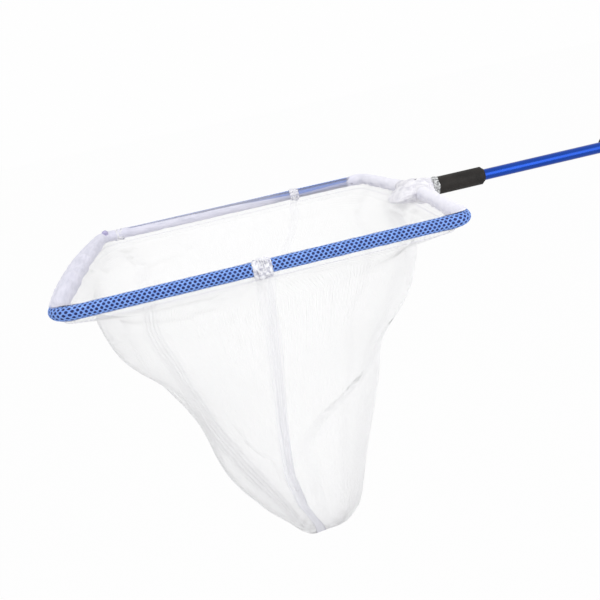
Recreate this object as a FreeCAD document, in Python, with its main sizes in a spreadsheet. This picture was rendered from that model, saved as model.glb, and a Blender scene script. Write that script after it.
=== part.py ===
import FreeCAD, Part

import math
import os

import Sketcher

# A hand-held leaf skimmer net: a square wire hoop with a padded edge and a deep mesh bag,
# on a three-section telescopic pole that locks with a twist.
# +X runs along the pole from the net to the hand, +Y across the hoop, +Z up.
# The origin is on the pole's axis at the middle of the hand grip.

doc = FreeCAD.newDocument("LeafSkimmerNet")
sheet = doc.addObject("Spreadsheet::Sheet", "Sizes")

# Each size in millimetres or degrees, with what it is; one that starts with "=" is worked out from the others.
SIZES = [
    ("hoop_length", 300.0, "hoop along the pole, wire centre to wire centre"),
    ("hoop_width", 300.0, "hoop across the pole, wire centre to wire centre"),
    ("hoop_bend_radius", 14.0, "centreline radius of the four hoop corners"),
    ("hoop_end_bulge", 8.0, "how far the far end of the hoop bows outward"),
    ("hoop_wire_diameter", 4.0, "spring steel wire"),
    ("neck_reach", 20.0, "centre of the neck bends beyond the hoop's near end"),
    ("neck_bend_radius", 8.0, "centreline radius of the two neck bends"),
    ("tang_gap", 0.1, "gap between the wire's two ends, side by side"),
    ("tang_depth", 26.0, "length of the wire ends inside the pole"),
    ("foam_wall", 2.0, "foam hose on the wire"),
    ("casing_wall", 0.45, "rolled hem of the net round the foam"),
    ("guard_wall", 0.45, "honeycomb guard strip round the hem"),
    ("edge_clearance", 0.05, "gap between one layer of the edge and the next"),
    ("guard_wrap_angle", 125.0, "guard's reach each way from the outward side, in degrees"),
    ("front_tie_offset", -5.0, "front tie from the hoop's middle, along the pole"),
    ("back_tie_offset", 67.0, "back tie from the hoop's middle, along the pole"),
    ("front_tie_length", 15.0, ""),
    ("back_tie_length", 8.0, ""),
    ("corner_tie_length", 7.0, ""),
    ("tie_wall", 1.3, "thread and gathered mesh on the guard"),
    ("net_wall", 1.0, "net, with its folds"),
    ("net_near_bulge", 7.0, "how far the near end of the net's mouth bows outward"),
    ("net_depth_1", 40.0, "below the hoop's plane"),
    ("net_end_fill_1", 1.0, "reach along the pole: 0 at the toe's, 1 at the mouth's"),
    ("net_side_fill_1", 0.84, "reach across the pole, counted the same way"),
    ("net_round_1", 0.5, "corner radius as a share of the smaller half size"),
    ("net_depth_2", 84.0, ""),
    ("net_end_fill_2", 0.97, ""),
    ("net_side_fill_2", 0.66, ""),
    ("net_round_2", 0.83, ""),
    ("net_depth_3", 122.0, ""),
    ("net_end_fill_3", 0.76, ""),
    ("net_side_fill_3", 0.52, ""),
    ("net_round_3", 0.84, ""),
    ("net_depth_4", 168.0, ""),
    ("net_end_fill_4", 0.56, ""),
    ("net_side_fill_4", 0.4, ""),
    ("net_round_4", 0.85, ""),
    ("net_depth_5", 228.0, ""),
    ("net_end_fill_5", 0.44, ""),
    ("net_side_fill_5", 0.32, ""),
    ("net_round_5", 0.86, ""),
    ("net_depth_6", 288.0, ""),
    ("net_end_fill_6", 0.25, ""),
    ("net_side_fill_6", 0.17, ""),
    ("net_round_6", 0.86, ""),
    ("net_depth_7", 322.0, "the toe"),
    ("net_end_fill_7", 0.0, ""),
    ("net_side_fill_7", 0.0, ""),
    ("net_round_7", 0.86, ""),
    ("net_toe_reach", 20.0, "half size of the toe along the pole"),
    ("net_toe_spread", 14.0, "half size of the toe across the pole"),
    ("net_end_bow", 0.1, "outward bow of an end's middle, as a share of its straight half"),
    ("seam_lean", 26.0, "how far the seam moves toward the far end on its way to the bottom"),
    ("seam_tape_width", 12.0, ""),
    ("seam_tape_wall", 0.8, ""),
    ("hem_band_top", 6.6, "stitched band under the edge, below the hoop's plane"),
    ("hem_band_height", 6.0, ""),
    ("tube_wall", 0.7, "all three tubes"),
    ("tang_room", 0.45, "between a wire end and the side of the tip tube's bore"),
    ("tip_radius", "=hoop_wire_diameter + tang_gap / 2 + tang_room + tube_wall", "tip tube, outside"),
    ("tip_tube_gap", 0.9, "radial, tip tube in the middle tube"),
    ("middle_radius", "=tip_radius + tip_tube_gap + tube_wall", "middle tube, outside"),
    ("middle_tube_gap", 1.0, "radial, middle tube in the handle tube"),
    ("handle_radius", "=middle_radius + middle_tube_gap + tube_wall", "handle tube, outside"),
    ("bush_wall", 1.1, "bush between ferrule and tip tube"),
    ("ferrule_wall", 2.0, ""),
    ("ferrule_radius", "=tip_radius + bush_wall + ferrule_wall", ""),
    ("gather_swell", 3.2, "bunched mesh at the neck, past the ferrule's bore"),
    ("gather_radius", "=tip_radius + bush_wall + gather_swell", ""),
    ("gather_lip", 1.5, "bevel at the bunch's open end"),
    ("gather_length", 21.0, "bunched mesh in front of the ferrule"),
    ("gather_tuck", 6.0, "bunched mesh inside the ferrule"),
    ("ferrule_length", 44.0, "rubber sleeve over the joint of hoop and pole"),
    ("ferrule_chamfer", 0.8, ""),
    ("ferrule_gap", 32.0, "front of the ferrule beyond the hoop's near end"),
    ("bush_length", 20.0, "bush between ferrule and tip tube"),
    ("bush_lip", 1.6, "bush standing out of the ferrule"),
    ("tube_in_ferrule", 36.0, "tip tube inside the ferrule"),
    ("tip_shown", 125.0, "tip tube between ferrule and middle collar at rest"),
    ("tip_length", 285.0, ""),
    ("middle_length", 272.0, ""),
    ("handle_reach", 215.0, "handle tube in front of the grip's middle"),
    ("collar_length", 28.0, "collar on the mouth of a tube"),
    ("collar_wall", 2.6, "collar outside its tube"),
    ("collar_mouth", 8.0, "collar in front of its tube's end"),
    ("collar_chamfer", 1.2, ""),
    ("collar_flute_radius", 1.0, ""),
    ("collar_flute_depth", 0.67, ""),
    ("collar_flutes", 12, ""),
    ("stop_gap", 0.3, "between the two collars when the middle section is home"),
    ("slide_clearance", 0.1, "radial, tube in collar and expander in tube"),
    ("plug_depth", 12.0, "screw plug inside its tube"),
    ("plug_flange", 1.5, ""),
    ("plug_flange_gap", 0.5, "radial, plug flange in the outer tube"),
    ("screw_radius", 2.0, "screw of the twist lock, over its thread"),
    ("screw_length", 17.0, ""),
    ("screw_clearance", 0.06, "radial, screw in cone nut"),
    ("expander_gap", 0.3, "between plug flange and expander"),
    ("expander_length", 12.0, ""),
    ("expander_floor", 2.0, "end wall of the expander, next to the flange"),
    ("expander_slit", 1.2, ""),
    ("cone_small_radius", 2.9, "cone nut at its narrow end"),
    ("cone_wall", 1.3, "expander's wall at the wide end of the cone"),
    ("cone_length", 9.0, ""),
    ("cone_clearance", 0.15, "radial, cone nut in expander"),
    ("grip_length", 120.0, ""),
    ("grip_to_cap", 0.5, "between the grip and the end cap"),
    ("grip_wall", 3.5, ""),
    ("grip_radius", "=handle_radius + grip_wall", ""),
    ("grip_flare", 1.4, "bead at the front end of the grip"),
    ("grip_bead", 7.0, "length of that bead"),
    ("cap_wall", 2.6, "end cap outside the handle tube"),
    ("cap_length", 9.0, "end cap round the handle tube"),
    ("cap_floor", 3.0, ""),
    ("cap_bevel", 1.0, "on the cap's outer rim"),
    ("cap_plug_depth", 11.0, "end cap's spigot inside the handle tube"),
    ("cap_plug_wall", 1.6, ""),
    ("eye_radius", 8.0, "outside of the hanging eye"),
    ("eye_hole_radius", 4.0, ""),
    ("eye_thickness", 5.0, ""),
    ("eye_reach", 8.5, "centre of the eye's hole behind the end cap"),
]

NET_SECTIONS = 7
TOOL_MARGIN = 20
CUT_PAST = 1
ON_AXIS = 1e-9
TUBES_ALONG_X = FreeCAD.Rotation(FreeCAD.Vector(0, 1, 0), 90)
ACROSS_POLE = FreeCAD.Rotation(FreeCAD.Vector(1, 1, 1), 120)
START, END, CENTRE = 1, 2, 3
ORIGIN_POINT = (-1, 1)
X_AXIS, Y_AXIS = -1, -2

for row, (alias, value, note) in enumerate(SIZES, start=1):
    sheet.set(f"A{row}", alias)
    sheet.set(f"B{row}", str(value))
    sheet.setAlias(f"B{row}", alias)
    sheet.set(f"C{row}", note)
doc.recompute()


def value_of(expression):
    """The number that an expression gives with the sheet's present values."""
    return float(sheet.evalExpression(expression))


# Stations along the pole and on the hoop, each worked out from the sheet.
# TOOL_MARGIN and CUT_PAST are how far a cutting solid reaches past what it cuts.
HALF_LENGTH = "(Sizes.hoop_length / 2)"
HALF_WIDTH = "(Sizes.hoop_width / 2)"
FOAM_INNER = "(Sizes.hoop_wire_diameter / 2 + Sizes.edge_clearance)"
FOAM_OUTER = f"({FOAM_INNER} + Sizes.foam_wall)"
CASING_INNER = f"({FOAM_OUTER} + Sizes.edge_clearance)"
CASING_OUTER = f"({CASING_INNER} + Sizes.casing_wall)"
GUARD_INNER = f"({CASING_OUTER} + Sizes.edge_clearance)"
GUARD_OUTER = f"({GUARD_INNER} + Sizes.guard_wall)"
NET_INSET = f"({CASING_OUTER} + Sizes.edge_clearance)"
TANG_OFFSET = "(Sizes.hoop_wire_diameter / 2 + Sizes.tang_gap / 2)"
FERRULE_FRONT = f"({HALF_LENGTH} + Sizes.ferrule_gap)"
FERRULE_REAR = f"({FERRULE_FRONT} + Sizes.ferrule_length)"
TIP_TUBE_FRONT = f"({FERRULE_REAR} - Sizes.tube_in_ferrule)"
TANG_END = f"({TIP_TUBE_FRONT} + Sizes.tang_depth)"

HANDLE_FRONT = "(-Sizes.handle_reach)"
HANDLE_END = "(Sizes.grip_length / 2 + Sizes.grip_to_cap + Sizes.cap_length)"
HANDLE_COLLAR_FRONT = f"({HANDLE_FRONT} - Sizes.collar_mouth)"
MIDDLE_COLLAR_FRONT = f"({HANDLE_COLLAR_FRONT} - Sizes.stop_gap - Sizes.collar_length)"
MIDDLE_FRONT = f"({MIDDLE_COLLAR_FRONT} + Sizes.collar_mouth)"
MIDDLE_END = f"({MIDDLE_FRONT} + Sizes.middle_length)"
HOOP = f"({MIDDLE_COLLAR_FRONT} - Sizes.tip_shown - {FERRULE_REAR})"
TIP_FRONT = f"({HOOP} + {TIP_TUBE_FRONT})"
TIP_END = f"({TIP_FRONT} + Sizes.tip_length)"


def bind(thing, **expressions):
    """Binds properties, named with __ for a dot, to expressions of the sheet."""
    for name, expression in expressions.items():
        thing.setExpression(name.replace("__", "."), expression)
    return thing


def named(thing, label):
    thing.Label = label
    return thing


def place(thing, x="0", y="0", z="0", turn=None):
    """Turns a thing, then binds its position."""
    if turn is not None:
        thing.Placement = FreeCAD.Placement(FreeCAD.Vector(), turn)
    return bind(thing, Placement__Base__x=x, Placement__Base__y=y, Placement__Base__z=z)


def rod(name, start, length, radius, y="0"):
    """A cylinder along the pole."""
    solid = doc.addObject("Part::Cylinder", name)
    place(solid, x=start, y=y, turn=TUBES_ALONG_X)
    return bind(solid, Height=length, Radius=radius)


def block(name, corner, size):
    """A box from its lowest corner and its three lengths."""
    solid = doc.addObject("Part::Box", name)
    place(solid, *corner)
    return bind(solid, Length=size[0], Width=size[1], Height=size[2])


def cut(name, base, tool):
    result = doc.addObject("Part::Cut", name)
    result.Base = base
    result.Tool = tool
    return result


def common(name, base, tool):
    result = doc.addObject("Part::Common", name)
    result.Base = base
    result.Tool = tool
    return result


def fuse(name, *shapes):
    result = doc.addObject("Part::MultiFuse", name)
    result.Shapes = list(shapes)
    return result


def tube(name, start, length, outer, inner, y="0"):
    outside = rod(f"{name}_outside", start, length, outer, y)
    bore = rod(f"{name}_bore", start, length, inner, y)
    return cut(name, outside, bore)


class Outline:
    """A sketch under construction, with every dimension bound to the sheet."""

    def __init__(self, sketch):
        self.sketch = sketch

    def line(self, a, b):
        first, second = FreeCAD.Vector(*a, 0), FreeCAD.Vector(*b, 0)
        return self.sketch.addGeometry(Part.LineSegment(first, second), False)

    def circle(self, radius):
        ring = Part.Circle(FreeCAD.Vector(), FreeCAD.Vector(0, 0, 1), value_of(radius))
        index = self.sketch.addGeometry(ring, False)
        self.rule("Coincident", index, CENTRE, *ORIGIN_POINT)
        self.size("Radius", radius, index)
        return index

    def arc(self, centre, radius, start_angle, end_angle):
        """An arc drawn counterclockwise between two angles in degrees."""
        ring = Part.Circle(FreeCAD.Vector(*centre, 0), FreeCAD.Vector(0, 0, 1), radius)
        bent = Part.ArcOfCircle(ring, math.radians(start_angle), math.radians(end_angle))
        return self.sketch.addGeometry(bent, False)

    def rule(self, kind, *where):
        return self.sketch.addConstraint(Sketcher.Constraint(kind, *where))

    def size(self, kind, expression, *where):
        index = self.rule(kind, *where, value_of(expression))
        self.sketch.setExpression(f"Constraints[{index}]", expression)

    def at(self, geometry, point, x=None, y=None):
        """Ties a point's coordinates to expressions; "0" puts it on the axis."""
        for kind, axis, expression in (("DistanceX", Y_AXIS, x), ("DistanceY", X_AXIS, y)):
            if expression is None:
                continue
            number = value_of(expression)
            if abs(number) < ON_AXIS:
                self.rule("PointOnObject", geometry, point, axis)
            elif number > 0:
                self.size(kind, expression, *ORIGIN_POINT, geometry, point)
            else:
                self.size(kind, f"-({expression})", geometry, point, *ORIGIN_POINT)

    def polygon(self, points):
        """A closed outline of straight lines through (x, y) expressions."""
        numbers = [(value_of(x), value_of(y)) for x, y in points]
        lines = [self.line(a, b) for a, b in zip(numbers, numbers[1:] + numbers[:1])]
        for index, geometry in enumerate(lines):
            self.rule("Coincident", geometry, END, lines[(index + 1) % len(lines)], START)
            self.at(geometry, START, *points[index])


def free_outline(name, x="0", y="0", z="0", turn=None):
    """An outline of its own, placed by expressions."""
    sketch = doc.addObject("Sketcher::SketchObject", name)
    place(sketch, x, y, z, turn)
    return Outline(sketch)


def body_outline(body, name, role):
    """An outline on one of a body's own origin planes."""
    sketch = body.newObject("Sketcher::SketchObject", name)
    planes = [f for f in body.Origin.OriginFeatures if f.Role == role]
    sketch.AttachmentSupport = (planes[0], [""])
    sketch.MapMode = "FlatFace"
    return Outline(sketch)


def turned(name, station, points):
    """A body turned about the pole's axis, from (distance along it, radius) expressions."""
    body = doc.addObject("PartDesign::Body", name)
    profile = body_outline(body, f"{name}_profile", "XY_Plane")
    profile.polygon(points)
    turning = body.newObject("PartDesign::Revolution", f"{name}_turning")
    turning.Profile = profile.sketch
    turning.ReferenceAxis = (profile.sketch, ["H_Axis"])
    turning.Angle = 360
    body.Tip = turning
    return place(body, x=station)


# The hoop: one wire whose ends turn out at the neck and run side by side into the pole.

BEND_CENTRE_X = f"({HALF_LENGTH} - Sizes.hoop_bend_radius)"
BEND_CENTRE_Y = f"({HALF_WIDTH} - Sizes.hoop_bend_radius)"
NECK_CENTRE_X = f"({HALF_LENGTH} + Sizes.neck_reach)"
NECK_CENTRE_Y = f"({TANG_OFFSET} + Sizes.neck_bend_radius)"
FAR_END_CENTRE = (
    f"(({BEND_CENTRE_Y} ^ 2 - Sizes.hoop_end_bulge ^ 2) / (2 * Sizes.hoop_end_bulge)"
    f" - {BEND_CENTRE_X})"
)


def arm_lean():
    """How far the hoop's two near arms lean from square across the pole, in degrees."""
    along = value_of(f"{BEND_CENTRE_X} - {NECK_CENTRE_X}")
    across = value_of(f"{BEND_CENTRE_Y} - {NECK_CENTRE_Y}")
    radii = value_of("Sizes.hoop_bend_radius + Sizes.neck_bend_radius")
    turn = math.atan2(across, along) - math.acos(-radii / math.hypot(along, across))
    return math.degrees(turn)


class HoopPath(Outline):
    """Runs of the hoop's centreline: its rails, corners, far end, near arms and tangs."""

    def __init__(self, name):
        sketch = doc.addObject("Sketcher::SketchObject", name)
        place(sketch, x=HOOP)
        super().__init__(sketch)
        self.last = None
        self.half_x = value_of(HALF_LENGTH)
        self.half_y = value_of(HALF_WIDTH)
        self.bend = value_of("Sizes.hoop_bend_radius")
        self.inner_x = self.half_x - self.bend
        self.inner_y = self.half_y - self.bend
        self.neck = value_of("Sizes.neck_bend_radius")
        self.neck_x = value_of(NECK_CENTRE_X)
        self.neck_y = value_of(NECK_CENTRE_Y)
        self.lean = arm_lean()
        self.far_x = value_of(FAR_END_CENTRE)
        self.far_angle = math.degrees(math.atan2(self.inner_y, self.inner_x + self.far_x))

    def follow(self, geometry, entry, leave):
        """Joins a piece of the run to the one before it, tangent to it."""
        if self.last is not None:
            self.rule("Tangent", *self.last, geometry, entry)
        self.last = (geometry, leave)
        return geometry

    def rail(self, side, x_from, x_to, start=None):
        """A straight rail; side is +1 for the back and -1 for the front."""
        y = side * self.half_y
        geometry = self.follow(self.line((x_from, y), (x_to, y)), START, END)
        self.rule("Horizontal", geometry)
        if start is not None:
            self.at(geometry, START, x=start)
        self.at(geometry, START, y=HALF_WIDTH if side > 0 else f"-{HALF_WIDTH}")
        return geometry

    def far_corner(self, side, outbound):
        """A corner at the far end, entered from its rail when outbound."""
        centre = (-self.inner_x, side * self.inner_y)
        if side < 0:
            angles = (180 + self.far_angle, 270)
            ends = (END, START)
        else:
            angles = (90, 180 - self.far_angle)
            ends = (START, END)
        geometry = self.arc(centre, self.bend, *angles)
        self.follow(geometry, *(ends if outbound else ends[::-1]))
        self.size("Radius", "Sizes.hoop_bend_radius", geometry)
        return geometry

    def far_end(self, from_front):
        """The bowed far end, between its two corners."""
        radius = self.far_x + self.half_x + value_of("Sizes.hoop_end_bulge")
        angles = (180 - self.far_angle, 180 + self.far_angle)
        geometry = self.arc((self.far_x, 0), radius, *angles)
        self.follow(geometry, *((END, START) if from_front else (START, END)))
        self.at(geometry, CENTRE, x=FAR_END_CENTRE, y="0")
        return geometry

    def near_corner(self, side, outbound):
        """A corner at the near end, entered from its rail when outbound."""
        centre = (self.inner_x, side * self.inner_y)
        angles = (self.lean, 90) if side > 0 else (270, 360 - self.lean)
        ends = (END, START) if side > 0 else (START, END)
        geometry = self.arc(centre, self.bend, *angles)
        self.follow(geometry, *(ends if outbound else ends[::-1]))
        self.size("Radius", "Sizes.hoop_bend_radius", geometry)
        self.at(geometry, CENTRE, x=BEND_CENTRE_X)
        return geometry

    def arm_points(self, side):
        """Both ends of a near arm: at its corner, and at the neck."""
        across = math.sin(math.radians(self.lean))
        along = math.cos(math.radians(self.lean))
        corner = (
            self.inner_x + self.bend * along,
            side * (self.inner_y + self.bend * across),
        )
        neck = (
            self.neck_x - self.neck * along,
            side * (self.neck_y - self.neck * across),
        )
        return corner, neck

    def arm(self, side, outbound):
        corner, neck = self.arm_points(side)
        points = (corner, neck) if outbound else (neck, corner)
        return self.follow(self.line(*points), START, END)

    def neck_bend(self, side, outbound):
        """The bend from an arm, when outbound, to its tang."""
        centre = (self.neck_x, side * self.neck_y)
        angles = (180 + self.lean, 270) if side > 0 else (90, 180 - self.lean)
        ends = (START, END) if side > 0 else (END, START)
        geometry = self.arc(centre, self.neck, *angles)
        self.follow(geometry, *(ends if outbound else ends[::-1]))
        self.size("Radius", "Sizes.neck_bend_radius", geometry)
        self.at(geometry, CENTRE, x=NECK_CENTRE_X)
        return geometry

    def tang(self, side, outbound):
        """The straight end of the wire, inside the pole."""
        y = side * value_of(TANG_OFFSET)
        points = ((self.neck_x, y), (value_of(TANG_END), y))
        points = points if outbound else points[::-1]
        geometry = self.follow(self.line(*points), START, END)
        free = END if outbound else START
        self.rule("Horizontal", geometry)
        offset = TANG_OFFSET if side > 0 else f"-{TANG_OFFSET}"
        self.at(geometry, free, x=TANG_END, y=offset)
        return geometry


def sweep(name, path, profile):
    """A solid pipe along a whole path."""
    path.sketch.recompute()
    edges = [f"Edge{n + 1}" for n in range(len(path.sketch.Shape.Edges))]
    solid = doc.addObject("Part::Sweep", name)
    solid.Sections = [profile.sketch]
    solid.Spine = (path.sketch, edges)
    solid.Solid = True
    solid.Frenet = False
    return solid


def hoop_wire():
    path = HoopPath("hoop_wire_path")
    path.tang(1, outbound=False)
    path.neck_bend(1, outbound=False)
    path.arm(1, outbound=False)
    path.near_corner(1, outbound=False)
    path.rail(1, path.inner_x, -path.inner_x)
    path.far_corner(1, outbound=True)
    path.far_end(from_front=False)
    path.far_corner(-1, outbound=False)
    path.rail(-1, -path.inner_x, path.inner_x)
    path.near_corner(-1, outbound=True)
    path.arm(-1, outbound=True)
    path.neck_bend(-1, outbound=True)
    path.tang(-1, outbound=True)
    profile = free_outline(
        "hoop_wire_section", f"{HOOP} + {TANG_END}", TANG_OFFSET, "0", ACROSS_POLE
    )
    profile.circle("Sizes.hoop_wire_diameter / 2")
    return named(sweep("hoop_wire_sweep", path, profile), "hoop_wire")


FRONT_TIE_X = "Sizes.front_tie_offset"
BACK_TIE_X = "Sizes.back_tie_offset"


def left_run():
    """The padded edge's run from the front tie, round the far end, to the back tie."""
    run = HoopPath("left_run_path")
    run.rail(-1, value_of(FRONT_TIE_X), -run.inner_x, start=FRONT_TIE_X)
    run.far_corner(-1, outbound=True)
    run.far_end(from_front=True)
    run.far_corner(1, outbound=False)
    last = run.rail(1, -run.inner_x, value_of(BACK_TIE_X))
    run.at(last, END, x=BACK_TIE_X)
    return run


def near_run(name, side, tie_x):
    """The padded edge's run from a tie, round the near corner, to the neck."""
    run = HoopPath(name)
    run.rail(side, value_of(tie_x), run.inner_x, start=tie_x)
    run.near_corner(side, outbound=True)
    run.arm(side, outbound=True)
    guide = run.neck_bend(side, outbound=True)
    run.at(guide, CENTRE, y=NECK_CENTRE_Y if side > 0 else f"-{NECK_CENTRE_Y}")
    run.at(guide, END if side > 0 else START, x=NECK_CENTRE_X)
    run.sketch.setConstruction(guide, True)
    return run


def round_run(name, run, radius):
    """A solid hose along a run of the edge."""
    path, x, side = run
    y = HALF_WIDTH if side > 0 else f"-{HALF_WIDTH}"
    profile = free_outline(f"{name}_section", f"{HOOP} + {x}", y, "0", ACROSS_POLE)
    profile.circle(radius)
    return sweep(name, path, profile)


def hollow_run(name, run, inner, outer):
    """A hose along a run of the edge."""
    return cut(
        name,
        round_run(f"{name}_outside", run, outer),
        round_run(f"{name}_bore", run, inner),
    )


def guard_section(name, x, side):
    """A ring round the wire that is open on the hoop's inner side."""
    y = HALF_WIDTH if side > 0 else f"-{HALF_WIDTH}"
    profile = free_outline(name, f"{HOOP} + {x}", y, "0", ACROSS_POLE)
    wrap = value_of("Sizes.guard_wrap_angle")
    outward = 0 if side > 0 else 180
    facing = "" if side > 0 else "-"
    angles = (outward - wrap, outward + wrap)
    inner, outer = value_of(GUARD_INNER), value_of(GUARD_OUTER)
    inner_arc = profile.arc((0, 0), inner, *angles)
    outer_arc = profile.arc((0, 0), outer, *angles)
    profile.size("Radius", GUARD_INNER, inner_arc)
    profile.size("Radius", GUARD_OUTER, outer_arc)
    profile.rule("Coincident", inner_arc, CENTRE, *ORIGIN_POINT)
    profile.rule("Coincident", outer_arc, CENTRE, *ORIGIN_POINT)
    for end, angle in ((START, angles[0]), (END, angles[1])):
        way = (math.cos(math.radians(angle)), math.sin(math.radians(angle)))
        points = [(radius * way[0], radius * way[1]) for radius in (inner, outer)]
        lip = profile.line(*points)
        profile.rule("Coincident", lip, START, inner_arc, end)
        profile.rule("Coincident", lip, END, outer_arc, end)
        profile.at(lip, END, x=f"{facing}{GUARD_OUTER} * cos(Sizes.guard_wrap_angle)")
        profile.rule("PointOnObject", inner_arc, CENTRE, lip)
    return profile


def guard_run(name, run):
    path, x, side = run
    return sweep(name, path, guard_section(f"{name}_section", x, side))


def edge_box(name, x_from, x_to, back):
    """A box round a stretch of the front or back rail, wider than the padded edge."""
    reach = f"({GUARD_OUTER} + Sizes.tie_wall + {CUT_PAST})"
    y = f"({HALF_WIDTH} - {reach})" if back else f"(-{HALF_WIDTH} - {reach})"
    corner = (f"{HOOP} + {x_from}", y, f"-{reach}")
    return block(name, corner, (f"{x_to} - ({x_from})", f"2 * {reach}", f"2 * {reach}"))


CORNER_TIE_X = f"(Sizes.corner_tie_length / 2 - {BEND_CENTRE_X})"


def padded_edge(runs):
    """Foam hose, rolled hem and honeycomb guard on the hoop, from the inside out."""
    foam = fuse(
        "edge_foam_hose",
        *[hollow_run(f"foam_{key}", run, FOAM_INNER, FOAM_OUTER) for key, run in runs.items()],
    )
    pieces = [named(foam, "edge_foam")]
    for key, run in runs.items():
        casing = hollow_run(f"casing_{key}", run, CASING_INNER, CASING_OUTER)
        pieces.append(named(casing, f"edge_casing_{key}"))
    for key in ("front_right", "back_right"):
        pieces.append(named(guard_run(f"guard_{key}", runs[key]), f"edge_guard_{key}"))
    back_stretch = edge_box("back_guard_stretch", CORNER_TIE_X, BACK_TIE_X, back=True)
    around = cut("guard_left_strip", guard_run("guard_left", runs["left"]), back_stretch)
    pieces.append(named(around, "edge_guard_left"))
    back_run = guard_run("guard_back", runs["left"])
    straight = common("guard_back_strip", back_run, back_stretch)
    pieces.append(named(straight, "edge_guard_back"))
    return pieces


# The net: a bag lofted through rounded outlines, in two halves sewn along one seam.

def between_toe_and_mouth(toe, half_hoop, fill):
    """A half size of the bag, between the toe's and the mouth's."""
    return f"({toe} + ({half_hoop} - {NET_INSET} - {toe}) * Sizes.net_{fill})"


def net_outline(name, level, offset):
    """The bag's outline at a level, moved outward by an offset."""
    if level == 0:
        reach, spread = f"({HALF_LENGTH} - {NET_INSET})", f"({HALF_WIDTH} - {NET_INSET})"
        corner = f"(Sizes.hoop_bend_radius - {NET_INSET})"
        far, near = "Sizes.hoop_end_bulge", "Sizes.net_near_bulge"
        depth = "0"
    else:
        reach = between_toe_and_mouth("Sizes.net_toe_reach", HALF_LENGTH, f"end_fill_{level}")
        spread = between_toe_and_mouth("Sizes.net_toe_spread", HALF_WIDTH, f"side_fill_{level}")
        corner = f"(Sizes.net_round_{level} * min({reach}; {spread}))"
        far = near = f"(Sizes.net_end_bow * ({spread} - {corner}))"
        depth = f"Sizes.net_depth_{level}"
    centre_x = f"({reach} - {corner})"
    centre_y = f"({spread} - {corner})"
    outline = free_outline(name, x=HOOP, z=f"-{depth}")
    x, y = value_of(centre_x), value_of(centre_y)
    radius = value_of(f"{corner} + {offset}")
    half_y = y + radius
    ends = []
    for way, bulge in ((-1, far), (1, near)):
        bow = f"(({centre_y} ^ 2 - {bulge} ^ 2) / (2 * {bulge}) - {centre_x})"
        ends.append((bow, value_of(bow), math.degrees(math.atan2(y, x + value_of(bow)))))
    (far_bow, far_x, far_angle), (near_bow, near_x, near_angle) = ends
    far_radius = math.hypot(y, x + far_x) + radius
    near_radius = math.hypot(y, x + near_x) + radius
    pieces = [
        (outline.line((-x, -half_y), (x, -half_y)), START, END),
        (outline.arc((x, -y), radius, 270, 360 - near_angle), START, END),
        (outline.arc((-near_x, 0), near_radius, -near_angle, near_angle), START, END),
        (outline.arc((x, y), radius, near_angle, 90), START, END),
        (outline.line((x, half_y), (-x, half_y)), START, END),
        (outline.arc((-x, y), radius, 90, 180 - far_angle), START, END),
        (outline.arc((far_x, 0), far_radius, 180 - far_angle, 180 + far_angle), START, END),
        (outline.arc((-x, -y), radius, 180 + far_angle, 270), START, END),
    ]
    for (first, _, leave), (second, entry, _) in zip(pieces, pieces[1:] + pieces[:1]):
        outline.rule("Tangent", first, leave, second, entry)
    front, near_front, near_end, near_back, back, far_back, far_end, far_front = [
        geometry for geometry, _, _ in pieces
    ]
    outline.rule("Horizontal", front)
    outline.rule("Horizontal", back)
    for other in (near_back, far_back, far_front):
        outline.rule("Equal", near_front, other)
    outline.size("Radius", f"{corner} + {offset}", near_front)
    outline.at(front, START, y=f"-({spread} + {offset})")
    outline.at(back, START, y=f"{spread} + {offset}")
    outline.at(near_front, CENTRE, x=centre_x)
    outline.at(far_front, CENTRE, x=f"-{centre_x}")
    outline.at(near_end, CENTRE, x=f"-{near_bow}", y="0")
    outline.at(far_end, CENTRE, x=far_bow, y="0")
    return outline.sketch


def net_envelope(name, offset, bottom="0"):
    """The bag as a solid body, with its walls moved outward by an offset."""
    solid = doc.addObject("Part::Loft", name)
    outlines = [net_outline(f"{name}_{n}", n, offset) for n in range(NET_SECTIONS + 1)]
    lowest = outlines[-1]
    bind(lowest, Placement__Base__z=f"-Sizes.net_depth_{NET_SECTIONS} - {bottom}")
    solid.Sections = outlines
    solid.Solid = True
    solid.Ruled = False
    return solid


def seam_prism(name, left, right):
    """A leaning prism that follows the seam, between two offsets from it along the pole."""
    reach = f"({HALF_WIDTH} + {TOOL_MARGIN})"
    slope = "((Sizes.back_tie_offset - Sizes.front_tie_offset) / Sizes.hoop_width)"
    front_x = f"(Sizes.front_tie_offset - {slope} * {TOOL_MARGIN})"
    back_x = f"(Sizes.back_tie_offset + {slope} * {TOOL_MARGIN})"
    outline = free_outline(f"{name}_plan", x=HOOP, z=f"{TOOL_MARGIN}")
    outline.polygon(
        [
            (f"{front_x} + {left}", f"-{reach}"),
            (f"{front_x} + {right}", f"-{reach}"),
            (f"{back_x} + {right}", reach),
            (f"{back_x} + {left}", reach),
        ]
    )
    prism = doc.addObject("Part::Extrusion", name)
    prism.Base = outline.sketch
    prism.DirMode = "Custom"
    prism.Solid = True
    deepest = f"Sizes.net_depth_{NET_SECTIONS}"
    bind(prism, Dir__x="-Sizes.seam_lean", Dir__y="0", Dir__z=f"-{deepest}")
    return bind(prism, LengthFwd=f"{deepest} + 3 * {TOOL_MARGIN}")


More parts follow.
